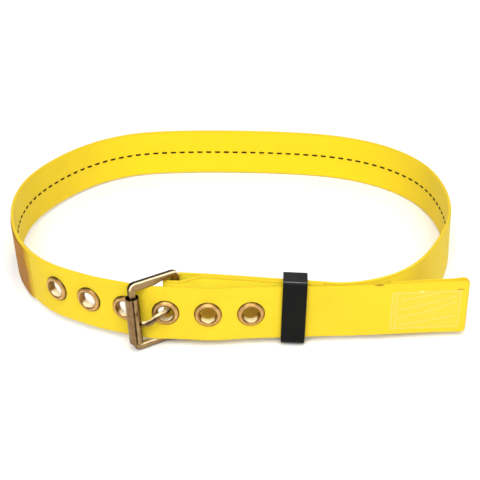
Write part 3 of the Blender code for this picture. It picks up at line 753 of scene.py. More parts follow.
class Paint:
    """One material's nodes, built by short calls. A value may be a number or another node's output."""

    def __init__(self, name):
        self.material = bpy.data.materials.new(name)
        self.material.use_nodes = True
        self.tree = self.material.node_tree
        self.shader = self.tree.nodes["Principled BSDF"]

    def node(self, kind, inputs=(), **settings):
        made = self.tree.nodes.new(kind)
        for key, value in settings.items():
            setattr(made, key, value)
        for key, value in dict(inputs).items():
            self.give(made.inputs[key], value)
        return made

    def give(self, socket, value):
        if isinstance(value, bpy.types.NodeSocket):
            self.tree.links.new(value, socket)
        elif isinstance(value, tuple) and len(value) == 3 and socket.type == "RGBA":
            socket.default_value = (*value, 1.0)
        else:
            socket.default_value = value

    def set(self, **inputs):
        for key, value in inputs.items():
            self.give(self.shader.inputs[key.replace("_", " ")], value)

    def math(self, operation, *values):
        return self.node("ShaderNodeMath", dict(enumerate(values)), operation=operation).outputs[0]

    def times(self, first, second):
        return self.math("MULTIPLY", first, second)

    def plus(self, first, second):
        return self.math("ADD", first, second)

    def minus(self, first, second):
        return self.math("SUBTRACT", first, second)

    def distance(self, first, second):
        return self.math("ABSOLUTE", self.minus(first, second))

    def mix(self, share, first, second):
        made = self.node("ShaderNodeMix", data_type="RGBA")
        self.give(made.inputs[0], share)
        self.give(made.inputs[6], first)
        self.give(made.inputs[7], second)
        return made.outputs[2]

    def noise(self, vector, scale, detail=2.0, rough=0.5):
        inputs = {"Vector": vector, "Scale": scale, "Detail": detail, "Roughness": rough}
        return self.node("ShaderNodeTexNoise", inputs).outputs["Fac"]

    def range(self, value, low, high, to_low=0.0, to_high=1.0):
        inputs = {"Value": value, "From Min": low, "From Max": high, "To Min": to_low, "To Max": to_high}
        return self.node("ShaderNodeMapRange", inputs).outputs[0]

    def spread(self, noise, to_low, to_high):
        """Most of what a noise gives, drawn out between the two."""
        return self.range(noise, 0.3, 0.7, to_low, to_high)

    def scaled(self, vector, x, y):
        return self.node("ShaderNodeMapping", {"Vector": vector, "Scale": (x, y, 1.0)}).outputs[0]

    def ramp(self, value, stops):
        made = self.node("ShaderNodeValToRGB", {"Fac": value})
        fill_ramp(made.color_ramp, stops)
        return made.outputs[0]

    def box(self, value, low, high, soft):
        """One between low and high, falling to nothing over a soft border."""
        return self.times(self.range(value, low, low + soft), self.range(value, high, high - soft))

    def spot(self, x, y, middle_x, middle_y, half_x, half_y):
        """One inside an ellipse, with a soft edge."""
        away_x = self.math("DIVIDE", self.minus(x, middle_x), half_x)
        away_y = self.math("DIVIDE", self.minus(y, middle_y), half_y)
        squares = self.plus(self.times(away_x, away_x), self.times(away_y, away_y))
        return self.range(squares, 1.0, 0.3)

    def bump(self, height, strength, distance):
        made = self.node("ShaderNodeBump", {"Height": height, "Strength": strength, "Distance": distance})
        self.tree.links.new(made.outputs[0], self.shader.inputs["Normal"])

    def map(self):
        """The mesh's own map, in millimetres: the vector, along and around."""
        vector = self.node("ShaderNodeUVMap", uv_map="millimetres").outputs[0]
        split = self.node("ShaderNodeSeparateXYZ", {0: vector}).outputs
        return vector, split[0], split[1]

    def place(self):
        return self.node("ShaderNodeTexCoord").outputs["Object"]

    def attribute(self, name):
        return self.node("ShaderNodeAttribute", attribute_name=name).outputs["Fac"]


def fill_ramp(ramp, stops):
    while len(ramp.elements) < len(stops):
        ramp.elements.new(0.5)
    for element, (at, colour) in zip(ramp.elements, stops):
        element.position = at
        element.color = (*colour, 1.0)


def webbing_material(strap):
    """Herringbone weave with streaks along the warp, soft blotches and a slight sheen."""
    paint = Paint("webbing")
    vector, along, around = paint.map()
    yarn = paint.noise(paint.scaled(vector, 0.05, 1.6), 1.0, 3.0)
    blotch = paint.noise(paint.place(), 22.0, 3.0)
    body = paint.mix(paint.plus(paint.spread(yarn, 0.0, 0.5), paint.spread(blotch, 0.0, 0.5)), *WEBBING_TONES)
    body = with_painted_light_and_shade(paint, body, strap, along, around)
    body = with_worn_edges(paint, body, strap, along, around)
    body = with_hem_marks(paint, body, strap)
    weave = herringbone(paint, along, around)
    paint.set(Base_Color=paint.mix(paint.range(weave, -1.0, -0.2, 0.16, 0.0), body, WEBBING_SHADE))
    paint.set(Roughness=paint.spread(yarn, 0.62, 0.78))
    paint.set(Sheen_Weight=0.04, Sheen_Roughness=0.45, Specular_IOR_Level=0.16)
    paint.bump(weave, 0.45, 0.00016)
    return paint.material


def herringbone(paint, along, around):
    """Ribs that slant one way and then the other across the strap, over fine picks."""
    rise = paint.times(paint.math("PINGPONG", around, CHEVRON_WIDTH), CHEVRON_SLOPE)
    twill = paint.math("SINE", paint.plus(paint.times(along, TWILL_TURN), rise))
    picks = paint.math("SINE", paint.times(along, 2.0 * TWILL_TURN))
    return paint.plus(paint.times(twill, 0.7), paint.times(picks, 0.3))


def with_painted_light_and_shade(paint, body, strap, along, around):
    """The waist side of the back is a paler yellow. Painted light brightens what the sewn end and the free
    tail cover, in the shaded hollow between the plies.

    Painted shade darkens the sewn end behind the grommets, where it shows through their holes.
    """
    outer_face = paint.box(around, *OUTER_FACE)
    waist_face = paint.box(around, *WAIST_FACE)
    back = paint.box(along, strap.length_near(*BACK_FROM), strap.length_near(*BACK_TO), BACK_FADE)
    tail_from = strap.length_near(*TAIL_FROM)
    under_tail = paint.box(along, tail_from, strap.length_near(*TAIL_TO), LIT_HOLLOW_FADE)
    under_ply = paint.box(along, strap.sewn - LIT_HOLLOW_FADE, tail_from + LIT_HOLLOW_FADE, LIT_HOLLOW_FADE)
    sewn = paint.times(paint.range(along, strap.sewn, strap.sewn - SEWN_FADE), waist_face)
    body = paint.mix(paint.times(back, waist_face), body, WEBBING_BACK)
    # Painted light: a brighter colour under the tail and on the sewn ply lifts the shaded hollow between the
    # plies.
    body = paint.mix(paint.times(under_tail, outer_face), body, WEBBING_LIT_UNDER_TAIL)
    body = paint.mix(paint.times(under_ply, outer_face), body, WEBBING_LIT_SEWN)
    body = paint.mix(sewn, body, WEBBING_LIT_SEWN)
    # Painted shade: dark spots on the sewn end behind the grommets, seen through their holes.
    for middle in hole_shade_spots(strap):
        ends = {0: paint.place(), 1: tuple(middle)}
        away = paint.node("ShaderNodeVectorMath", ends, operation="DISTANCE").outputs["Value"]
        hole_shade = paint.range(away, HOLE_SHADE_RADIUS, HOLE_SHADE_RADIUS - HOLE_SHADE_FADE, 0.0, HOLE_SHADE_DEPTH)
        body = paint.mix(paint.times(sewn, hole_shade), body, WEBBING_HOLE_SHADE)
    return body


def with_worn_edges(paint, body, strap, along, around):
    """The woven edges are a little deeper in colour, but not just past the keeper, where they stay pale with
    the painted light behind the tail.
    """
    edge = paint.range(paint.distance(around, TOP_EDGE_MIDDLE), *EDGE_WORN, 0.0, 0.7)
    past_loop = paint.minus(along, strap.sewn)
    # Past the keeper the edges stay pale, part of the painted light in the shaded hollow behind the tail.
    worn_and_lit = paint.minus(1.0, paint.box(past_loop, *LIT_HOLLOW_EDGES))
    worn_and_lit = paint.times(worn_and_lit, paint.range(past_loop, LIT_HOLLOW_EDGES[0], LIT_HOLLOW_EDGES[1], 0.6, 1.0))
    return paint.mix(paint.times(edge, worn_and_lit), body, WEBBING_EDGE)


def with_hem_marks(paint, body, strap):
    """The hem: fuzz over its seam, small marks with a painted shadow among them, and painted shade on its
    rounded fold.
    """
    vector, along, around = paint.map()
    from_end = paint.minus(strap.end, along)
    fuzz = paint.times(paint.box(from_end, *HEM_FUZZ_ALONG), paint.box(around, *HEM_FUZZ_AROUND))
    pilled = paint.noise(paint.scaled(vector, 0.10, 0.55), 1.0, 3.0)
    body = paint.mix(paint.times(fuzz, paint.spread(pilled, 0.15, 1.0)), body, WEBBING_FUZZ)
    # The first mark is a painted shadow in a small crease at the top edge.
    for from_fold, up, long, high, colour in HEM_MARKS:
        body = paint.mix(paint.spot(from_end, around, from_fold, up, long, high), body, colour)
    # Painted shade on the rounded fold.
    fold_tip = -HEM_FOLD_RADIUS * math.pi / 2.0
    fold = paint.range(paint.distance(from_end, fold_tip), *HEM_FOLD_DARK, 0.0, 0.8)
    return paint.mix(fold, body, WEBBING_FOLD)


def hole_shade_spots(strap):
    """The middles of the spots of painted shade on the sewn end, behind the last three grommets."""
    lower = Vector((0.0, HOLE_SHADE_BEHIND, -HOLE_SHADE_LOW))
    return [(matrix.translation + lower + SHIFT) * MM for matrix in strap.grommet_frames()[-3:]]


def brass_material(name, tones, rough, streaks):
    """Brass with patina and painted shade in the recesses, bright where it is rubbed and where highlights are
    painted, with streaks and fine scratches.
    """
    paint = Paint(name)
    vector = paint.map()[0]
    cloud = paint.noise(paint.place(), 320.0, 4.0, 0.6)
    speck = paint.noise(paint.place(), 1500.0, 2.0)
    scratch = paint.noise(paint.scaled(vector, 0.25, 6.0), 1.0, 3.0)
    streak = paint.noise(paint.scaled(vector, 0.02, 1.1), 1.0, 2.0)
    # The attribute holds polish together with painted highlights and painted shade.
    worn_and_lit = paint.plus(paint.attribute("polish_and_light"), paint.spread(cloud, -0.11, 0.11))
    worn_and_lit = paint.plus(worn_and_lit, paint.spread(streak, -streaks, streaks))
    paint.set(Base_Color=paint.ramp(worn_and_lit, list(zip(BRASS_STOPS, tones))))
    paint.set(Metallic=paint.range(worn_and_lit, 0.72, 1.0, 1.0, 0.15))
    paint.set(Roughness=paint.range(paint.plus(cloud, scratch), 0.7, 1.3, rough, rough + 0.16))
    paint.bump(paint.plus(paint.times(scratch, 0.7), speck), 0.16, 0.00006)
    return paint.material


def keeper_material():
    """Black moulded plastic with a fine grain, with a painted highlight along its bent front edge."""
    paint = Paint("keeper")
    along = paint.map()[1]
    grain = paint.noise(paint.place(), 2600.0, 3.0)
    cloud = paint.noise(paint.place(), 90.0, 3.0)
    # Painted highlight along the front top corner.
    painted_highlight = paint.range(paint.distance(along, KEEPER_HIGHLIGHT_PLACE), *KEEPER_HIGHLIGHT_REACH)
    painted_highlight = paint.times(painted_highlight, paint.range(cloud, 0.35, 0.6, 0.45, 1.0))
    paint.set(Base_Color=paint.mix(painted_highlight, paint.mix(cloud, *KEEPER_TONES), KEEPER_HIGHLIGHT))
    paint.set(Roughness=paint.spread(cloud, 0.42, 0.56), Specular_IOR_Level=0.10)
    paint.bump(grain, 0.25, 0.00008)
    return paint.material


def patch_material():
    """Tan leather, creased and grained, faded at its front edge, with painted shade towards its back where it
    turns out of sight.
    """
    paint = Paint("patch")
    along = paint.map()[1]
    pores = {"Vector": paint.place(), "Scale": 900.0}
    cells = paint.node("ShaderNodeTexVoronoi", pores, feature="DISTANCE_TO_EDGE")
    crease = paint.range(cells.outputs["Distance"], 0.0, 0.12)
    cloud = paint.noise(paint.place(), 70.0, 4.0, 0.6)
    ragged = paint.plus(along, paint.spread(cloud, -0.7, 0.7))
    edge = paint.range(ragged, PATCH_LENGTH - PATCH_SKIVED, PATCH_LENGTH - 0.5)
    body = paint.mix(edge, paint.mix(paint.spread(cloud, 0.0, 1.0), *PATCH_TONES), PATCH_FADED)
    # Painted shade where the patch turns away round the bend.
    body = paint.mix(paint.range(along, *PATCH_SHADE_ALONG, 0.0, 0.75), body, PATCH_SHADE)
    paint.set(Base_Color=paint.mix(paint.range(crease, 0.0, 1.0, 0.35, 0.0), body, PATCH_CREASED))
    paint.set(Roughness=paint.spread(cloud, 0.5, 0.68), Specular_IOR_Level=0.06)
    paint.bump(crease, 0.3, 0.0001)
    return paint.material


def thread_material(name, tones, sheen):
    """Twisted thread: two plies wound round each other."""
    paint = Paint(name)
    along, around = paint.map()[1:]
    turns = [paint.times(way, turn) for way, turn in zip((along, around), THREAD_TWIST)]
    twist = paint.math("SINE", paint.plus(*turns))
    paint.set(Base_Color=paint.mix(paint.range(twist, -1.0, 1.0), *tones))
    paint.set(Roughness=0.6, Sheen_Weight=sheen, Specular_IOR_Level=0.05)
    paint.bump(twist, 0.4, 0.00008)
    return paint.material


# The belt's pieces


def section_points():
    """One cross section of the strap: how far up and how far out each point is."""
    half = STRAP_THICK / 2.0
    face = np.linspace(EDGE_ROUND, STRAP_WIDTH - EDGE_ROUND, FACE_STEPS + 1)
    angles = np.linspace(0.0, math.pi, EDGE_STEPS + 2)[1:-1]
    top = np.column_stack([STRAP_WIDTH - EDGE_ROUND + EDGE_ROUND * np.sin(angles), half * np.cos(angles)])
    outer = np.column_stack([face, np.full(len(face), half)])
    inner = np.column_stack([face[::-1], np.full(len(face), -half)])
    low = np.column_stack([EDGE_ROUND - EDGE_ROUND * np.sin(angles), -half * np.cos(angles)])
    return np.vstack([outer, top, inner, low])


def strap_stations(strap):
    """Lengths of the strap's cross sections: close together round bends."""
    plan = strap.base[:, :2]
    along = np.diff(plan, axis=0)
    heading = np.unwrap(np.arctan2(along[:, 1], along[:, 0]))
    picked = [0]
    for i in range(1, len(plan) - 1):
        far = strap.length[i] - strap.length[picked[-1]] >= LONGEST_STATION
        turned = abs(heading[i] - heading[picked[-1]]) >= SHARPEST_STATION
        if far or turned:
            picked.append(i)
    return strap.length[picked + [len(plan) - 1]]


def press_at_grommets(rings, stations, strap):
    """Flattens the strap's faces where a grommet's flanges clamp them."""
    half = STRAP_THICK / 2.0
    for place, matrix in zip(strap.grommet_places(), strap.grommet_frames()):
        near = np.abs(stations - place) < PRESS_RADIUS + PRESS_REACH
        local = transformed(matrix.inverted(), rings[near])
        share = 1.0 - smooth_step((np.hypot(local[..., 0], local[..., 1]) - PRESS_RADIUS) / PRESS_REACH)
        flat = np.clip(local[..., 2] * PRESS_STRETCH, -half, half)
        local[..., 2] = local[..., 2] * (1.0 - share) + flat * share
        rings[near] = transformed(matrix, local)
    return rings


def hole_cutters(strap):
    """One object that holds the grommets' round holes and the slot for the tongue."""
    cage = bmesh.new()
    for matrix in strap.grommet_frames():
        bmesh.ops.create_cone(
            cage,
            cap_ends=True,
            segments=HOLE_SIDES,
            radius1=GROMMET_HOLE_RADIUS,
            radius2=GROMMET_HOLE_RADIUS,
            depth=4.0 * STRAP_THICK,
            matrix=Matrix.Diagonal((MM, MM, MM, 1.0)) @ matrix,
        )
    corner = np.array([SLOT_LEFT, SLOT_FRONT])
    far = np.array([SLOT_RIGHT, SLOT_BACK])
    height = TONGUE_EYE_HEIGHT + edge_height(np.array([SLOT_RIGHT, SLOT_FRONT]), strap.run)
    size = Matrix.Diagonal((*(far - corner) * MM, SLOT_HEIGHT * MM, 1.0))
    middle = Matrix.Translation(Vector((*(corner + far) / 2.0, height)) * MM)
    bmesh.ops.create_cube(cage, size=1.0, matrix=middle @ size)
    mesh = bpy.data.meshes.new("holes")
    cage.to_mesh(mesh)
    cage.free()
    return placed("holes", mesh)


def with_cuts(piece, cutter):
    """The piece with the cutter taken out of its mesh."""
    boolean = piece.modifiers.new("holes", "BOOLEAN")
    boolean.operation = "DIFFERENCE"
    boolean.solver = "EXACT"
    boolean.object = cutter
    graph = bpy.context.evaluated_depsgraph_get()
    mesh = bpy.data.meshes.new_from_object(piece.evaluated_get(graph))
    piece.modifiers.clear()
    piece.data = mesh
    bpy.data.objects.remove(cutter, do_unlink=True)
    return piece


def hem_corner(stations, strap):
    """How far the strap's edges are drawn in at the hem's fold, which rounds its corners."""
    turned = np.abs(stations - strap.end - HEM_FOLD_RADIUS * math.pi / 2.0) / HEM_FOLD_RADIUS
    away = HEM_FOLD_RADIUS * (1.0 - np.cos(np.minimum(turned, math.pi / 2.0)))
    return HEM_CORNER - np.sqrt(np.maximum(0.0, HEM_CORNER**2 - np.maximum(0.0, HEM_CORNER - away) ** 2))


def build_strap(strap, material):
    section = section_points()
    stations = strap_stations(strap)
    half = STRAP_WIDTH / 2.0
    up = half + (section[None, :, 0] - half) * (1.0 - hem_corner(stations, strap)[:, None] / half)
    rings = strap.place(stations[:, None], up, section[None, :, 1])
    rings = press_at_grommets(rings, stations, strap)
    around = chord_lengths(np.vstack([section, section[:1]]))
    piece = with_cuts(loft("strap", rings, along=stations, around=around), hole_cutters(strap))
    finish_piece(piece, material, "belt", ["webbing"])


def build_grommets(strap, material):
    around = np.linspace(0.0, 2.0 * math.pi, GROMMET_STEPS, endpoint=False)
    wall = closed_curve(np.array(GROMMET_WALL), WALL_STEPS)
    outs = np.tile(wall[:, 1], (len(around), 1))
    turned = [np.outer(way, wall[:, 0]) for way in (np.cos(around), np.sin(around))]
    local = np.stack([*turned, outs], axis=-1)
    # The wall's polish carries painted shade, and its second column a painted highlight where it looks up.
    wear_and_light = (wall[None, :, 2], wall[None, :, 3], 0.0)
    for index, matrix in enumerate(strap.grommet_frames(), start=1):
        piece = loft(f"eyelet_{index}", transformed(matrix, local), looped=True, wear_and_light=wear_and_light)
        finish_piece(piece, material, "belt", [f"grommet_{index}"])


def closed_curve(rows, steps):
    """A closed smooth curve through the rows, with this many steps from each to the next."""
    before, after, beyond = np.roll(rows, 1, axis=0), np.roll(rows, -1, axis=0), np.roll(rows, -2, axis=0)
    shares = np.linspace(0.0, 1.0, steps, endpoint=False)[None, :, None]
    here, ahead = rows[:, None], after[:, None]
    lead, follow = (after - before)[:, None] / 2.0, (beyond - rows)[:, None] / 2.0
    cubic = (
        here * (2.0 * shares**3 - 3.0 * shares**2 + 1.0)
        + lead * (shares**3 - 2.0 * shares**2 + shares)
        + ahead * (3.0 * shares**2 - 2.0 * shares**3)
        + follow * (shares**3 - shares**2)
    )
    return cubic.reshape(-1, rows.shape[1])


def buckle_matrix():
    """Local X along the arms, local Y up the bars, local Z out to the front; the lower arm on the floor."""
    lean_cos, lean_sin = math.cos(FRAME_LEAN), math.sin(FRAME_LEAN)
    corner_cut = FRAME_BAR_ROUND * (lean_cos + lean_sin - 1.0)
    lower_arm = FRAME_BAR_WIDTH / 2.0 * lean_cos + FRAME_BAR_DEPTH / 2.0 * lean_sin
    height = lower_arm - corner_cut + FRAME_HEIGHT / 2.0 * lean_cos
    stand = Matrix.Rotation(math.pi / 2.0, 4, "X")
    lean = Matrix.Rotation(-FRAME_LEAN, 4, "X")
    turn = Matrix.Rotation(FRAME_TURN, 4, "Z")
    return Matrix.Translation(Vector((*FRAME_MIDDLE, height))) @ turn @ lean @ stand


def build_frame(material):
    """The rounded bar bent into a rectangle, its upper arm a little thicker inside near the roller."""
    path, outs = rounded_path(FRAME_LENGTH, FRAME_HEIGHT, FRAME_CORNER, FRAME_STEP)
    bar = (FRAME_BAR_WIDTH, FRAME_BAR_DEPTH, FRAME_BAR_ROUND)
    section, section_outs = rounded_path(*bar, FRAME_BAR_STEP)
    flat_path = np.column_stack([path, np.zeros(len(path))])
    across = np.column_stack([outs, np.zeros(len(outs))])
    up = np.tile((0.0, 0.0, 1.0), (len(path), 1))
    rings = swept_rings(flat_path, across, up, section)
    near_roller = smooth_step((SWELL_FROM - path[:, :1]) / SWELL_OVER)
    on_upper_arm = smooth_step((path[:, 1:] - FRAME_HEIGHT / 2.0 + SWELL_LOW) / SWELL_LOW)
    inside = smooth_step((0.5 - section[None, :, 0]) / 2.0)
    rings[:, :, 1] -= ARM_SWELL * near_roller * on_upper_arm * inside
    wear_and_light = frame_wear_and_light(outs, section, section_outs)
    piece = loft("frame_bar", transformed(buckle_matrix(), rings), looped=True, wear_and_light=wear_and_light)
    finish_piece(piece, material, "belt", ["buckle_frame"])


def frame_wear_and_light(outs, section, section_outs):
    """Worn brass with painted highlights on the bends that look up, painted dark reflection and shade on the
    outer edge, and painted shade behind and on the other bends.
    """
    outward, forward = section_outs[:, 0], section_outs[:, 1]
    over = smooth_step(outs[:, 1:] / 0.6 + 0.5)
    outer_bend = bell(np.arctan2(forward, outward), math.pi / 4.0, 0.45)
    inner_bend = bell(np.arctan2(forward, -outward), math.pi / 4.0, 0.4)
    outer_edge = smooth_step((outward - 0.5) / 0.3)
    outer_edge = outer_edge * smooth_step((FRAME_BAR_DEPTH / 2.0 - 1.0 - section[:, 1]) / 0.6)
    behind = smooth_step((-outward - 0.4) / 0.4) * smooth_step((-1.0 - section[:, 1]) / 0.5)
    # Painted highlights on the upward bends; painted shade and dark reflection on the outer edge, behind, and
    # on the downward bends.
    polish_and_light = 0.52 + 0.52 * outer_bend * over + 0.5 * inner_bend * (1.0 - over)
    tarnish_and_shade = outer_edge + 0.8 * behind + 0.75 * outer_bend * (1.0 - over)
    return polish_and_light, 0.3, np.clip(tarnish_and_shade, 0.0, 1.0)


def build_roller(material):
    """A tube rolled from sheet: two round lips face each other over the open seam."""
    half_seam = ROLLER_SEAM / 2.0
    angles = np.linspace(ROLLER_SEAM_AT + half_seam, ROLLER_SEAM_AT + 2.0 * math.pi - half_seam, ROLLER_SIDES)
    even = np.linspace(ROLLER_EVEN_FROM, ROLLER_LENGTH - ROLLER_EVEN_FROM, ROLLER_EVEN_RINGS)
    lengths = [*ROLLER_ENDS, *even, *(ROLLER_LENGTH - end for end in ROLLER_ENDS[::-1])]
    rings, polish_and_light, tarnish_and_shade = [], [], []
    for length in lengths:
        from_end = min(length, ROLLER_LENGTH - length)
        outline = roller_outline(angles, from_end)
        rings.append([(radius * math.cos(a), length, radius * math.sin(a)) for radius, a in outline])
        bright, dark = roller_wear_and_light(angles, length, from_end, len(outline))
        polish_and_light.append(bright)
        tarnish_and_shade.append(dark)
    place = Vector((-FRAME_LENGTH / 2.0, ROLLER_ABOVE_ARM - FRAME_HEIGHT / 2.0, 0.0))
    matrix = buckle_matrix() @ Matrix.Translation(place)
    wear_and_light = (np.array(polish_and_light), 0.0, np.array(tarnish_and_shade))
    piece = loft("roller_tube", transformed(matrix, rings), wear_and_light=wear_and_light)
    finish_piece(piece, material, "roller", ["buckle_roller"])


def roller_outline(angles, from_end):
    """One cross section of the tube, thinner at its very ends: radius and angle of each point."""
    lip = ROLLER_WALL / 2.0
    middle = ROLLER_RADIUS - lip
    full = math.sin(min(1.0, from_end / ROLLER_END_ROUND) * math.pi / 2.0)
    half = lip * (ROLLER_END_WALL + (1.0 - ROLLER_END_WALL) * full)
    bulge = half / middle * LIP_BULGE
    rounds = np.linspace(0.0, math.pi, LIP_STEPS)[1:-1]
    outer = [(middle + half, angle) for angle in angles]
    far_lip = [(middle + half * math.cos(turn), angles[-1] + bulge * math.sin(turn)) for turn in rounds]
    inner = [(middle - half, angle) for angle in angles[::-1]]
    near_lip = [(middle - half * math.cos(turn), angles[0] - bulge * math.sin(turn)) for turn in rounds]
    return outer + far_lip + inner + near_lip


def roller_wear_and_light(angles, length, from_end, count):
    """Polish and tarnish round one cross section: dark at the ends and the seam, painted shade on the sides,
    a painted highlight stripe, and one dark spot.
    """
    start, end = angles[0], angles[-1]
    # Painted highlight stripe before the seam.
    highlight_stripe = (angles > end - ROLLER_HIGHLIGHT_STRIPE[0]) & (angles < end - ROLLER_HIGHLIGHT_STRIPE[1])
    lips = [0.1] * (LIP_STEPS - 2)
    polish_and_light = [*np.where(highlight_stripe, 0.58, 0.4), *lips, *[0.05] * len(angles), *lips]
    at_end = 0.8 * (1.0 - min(1.0, from_end / 0.6))
    at_seam = 0.9 * bell(np.minimum(angles - start, end - angles), 0.0, 0.09)
    # Painted shade on the sides that turn away from the front.
    from_bright = np.abs((angles - ROLLER_LIT_AT + math.pi) % (2.0 * math.pi) - math.pi)
    sides = 0.8 * smooth_step((from_bright - 1.0) / 0.4)
    dark_spot = 0.9 * bell(angles, end - DARK_SPOT_FROM_SEAM, 0.18) * bell(length, DARK_SPOT_UP, 2.2)
    shares = np.maximum.reduce([at_seam, sides, dark_spot, np.full(len(angles), at_end)])
    return polish_and_light, [*shares, *[at_end] * (count - len(angles))]


def tongue_rows(strap):
    """Points of the tongue's centre line with its thickness: the eye round the bar, then the table's run."""
    bar = buckle_matrix() @ Vector((FRAME_LENGTH / 2.0, 0.0, 0.0))
    rows = []
    for angle in np.linspace(TONGUE_EYE_START, TONGUE_EYE_END, TONGUE_EYE_ROWS):
        x = bar.x + TONGUE_EYE_RADIUS * math.cos(angle)
        y = bar.y + TONGUE_EYE_RADIUS * math.sin(angle)
        rows.append((x, y, TONGUE_EYE_HEIGHT, TONGUE_EYE_THICK))
    rows = np.array(rows + list(TONGUE_RUN))
    rows[:, 2] += edge_height(rows[:, :2], strap.run)
    return rows


def build_tongue(strap, material):
    rows = tongue_rows(strap)
    knots = chord_lengths(rows[:, :2])
    ends = np.array(TONGUE_ENDS)
    even = np.linspace(TONGUE_EVEN_FROM, knots[-1] - TONGUE_EVEN_FROM, TONGUE_EVEN_RINGS)
    stations = np.concatenate([ends, even, knots[-1] - ends[::-1]])
    line = natural_spline(rows, stations)
    blunt = np.minimum(1.0, np.minimum(stations, knots[-1] - stations) / TONGUE_ENDS[-1])
    full = TONGUE_END_SHARE + (1.0 - TONGUE_END_SHARE) * np.sqrt(1.0 - (1.0 - blunt) ** 2)
    radius = line[:, 3:] / 2.0 * full[:, None]
    along = unit(np.gradient(line[:, :3], axis=0))
    across = unit(np.cross(along, (0.0, 0.0, 1.0)))
    up = np.cross(across, along)
    around = np.linspace(0.0, 2.0 * math.pi, TONGUE_SIDES, endpoint=False)
    circle = np.column_stack([np.cos(around), np.sin(around)])
    rings = swept_rings(line[:, :3], radius * across, radius * up, circle)
    wear_and_light = tongue_wear_and_light((knots[-1] - stations)[:, None], around[None, :])
    piece = loft("tongue_bar", rings, wear_and_light=wear_and_light)
    finish_piece(piece, material, "belt", ["buckle_tongue"])


def tongue_wear_and_light(from_tip, around):
    """A dark line near the tip, painted shade behind the grommet, and one painted highlight near the tip."""
    near_tip = smooth_step((TONGUE_DARK_LINE_REACH - from_tip) / 5.0)
    behind = smooth_step((from_tip - TONGUE_SHADED) / 5.0)
    # Painted shade behind the grommet, and a painted highlight near the tip.
    tarnish_and_shade = np.maximum(0.95 * bell(around, TONGUE_DARK_LINE_AT, 0.36) * near_tip, 0.7 * behind)
    glint = 0.45 * near_tip * bell(around, TONGUE_GLINT_AT, 0.4)
    return 0.45 + glint, 0.5, tarnish_and_shade


def build_keeper(strap, material):
    """A flat strip with rounded edges, bent into a loop."""
    depth = KEEPER_OPENING_DEPTH + KEEPER_WALL
    height = KEEPER_OPENING_HEIGHT + KEEPER_WALL + KEEPER_SAG
    path, outs = rounded_path(depth, height, KEEPER_CORNER, KEEPER_STEP)
    section = rounded_path(KEEPER_WALL, KEEPER_WIDTH, KEEPER_EDGE_ROUND, KEEPER_EDGE_STEP)[0]
    flat_path = np.column_stack([np.zeros(len(path)), path])
    across = np.column_stack([np.zeros(len(outs)), outs])
    side = np.tile((1.0, 0.0, 0.0), (len(path), 1))
    rings = swept_rings(flat_path, across, side, section)
    level = edge_height(np.array(KEEPER_MIDDLE), strap.run) + (STRAP_WIDTH - KEEPER_SAG) / 2.0 + KEEPER_RISE
    turn = Euler((-KEEPER_LEAN, KEEPER_ROLL, KEEPER_TURN)).to_matrix().to_4x4()
    matrix = Matrix.Translation(Vector((*KEEPER_MIDDLE, level))) @ turn
    piece = loft("keeper_loop", transformed(matrix, rings), looped=True)
    finish_piece(piece, material, "belt", ["keeper"])


def build_patch(strap, material):
    """A thin band of leather on the outside of the left bend, pared thin towards its front and back edges."""
    front = strap.grommet_places()[0] - PATCH_FRONT_TO_GROMMET
    stations = np.linspace(front - PATCH_LENGTH, front, PATCH_RINGS)
    from_back = stations - stations[0]
    section = rounded_path(PATCH_THICK, PATCH_HIGH - PATCH_LOW, PATCH_EDGE_ROUND, PATCH_EDGE_STEP)[0]
    full = smooth_step((front - stations) / PATCH_SKIVED) * smooth_step(from_back / PATCH_BACK_SKIVED)
    share = PATCH_EDGE + (1.0 - PATCH_EDGE) * full[:, None]
    out = STRAP_THICK / 2.0 + PATCH_GAP * share + (PATCH_THICK / 2.0 + section[None, :, 0]) * share
    up = (PATCH_HIGH + PATCH_LOW) / 2.0 + section[None, :, 1]
    rings = strap.place(stations[:, None], up, out)
    piece = loft("side_leather", rings, along=from_back)
    finish_piece(piece, material, "belt", ["side_patch"])


def stitch(strap, start, end, out, thread):
    """One stitch: a short piece of thread that rises out of the strap, lies on it and goes back in."""
    shares = np.array(STITCH_SHARES)
    lift = np.array(STITCH_LIFTS) * thread * np.sign(out)
    lengths = start[0] + (end[0] - start[0]) * shares
    ups = start[1] + (end[1] - start[1]) * shares
    line = strap.place(lengths, ups, out + lift)
    along = unit(np.gradient(line, axis=0))
    outward = unit(strap.read(strap.out, lengths))
    across = unit(np.cross(along, outward))
    rise = np.cross(across, along)
    around = np.linspace(0.0, 2.0 * math.pi, STITCH_SIDES, endpoint=False)
    pressed = np.column_stack([np.cos(around), THREAD_PRESSED * np.sin(around)]) * thread
    return loft("stitch", swept_rings(line, across, rise, pressed))


def stitch_row(strap, start, end, out, pitch, dash, thread):
    """Stitches in a straight row from one place on the strap to another, each a (length, up) pair."""
    start, end = np.array(start, dtype=float), np.array(end, dtype=float)
    distance = np.linalg.norm(end - start)
    count = max(1, round(distance / pitch))
    step = (end - start) / count
    half = step / np.linalg.norm(step) * dash / 2.0
    middles = [start + step * (i + 0.5) for i in range(count)]
    return [stitch(strap, middle - half, middle + half, out, thread) for middle in middles]


def build_waist_row(strap, material):
    """The dark dashes along the middle of the strap's waist side, from the sewn ply to the first grommet."""
    start = (strap.length_at_x(SEWN_PLY_END, False), STRAP_WIDTH / 2.0)
    end = (strap.grommet_places()[0] - ROW_FROM_GROMMET, STRAP_WIDTH / 2.0)
    row = stitch_row(strap, start, end, -STRAP_THICK / 2.0, ROW_PITCH, ROW_DASH, ROW_THREAD)
    finish_piece(joined("waist_stitches", row), material, "belt")


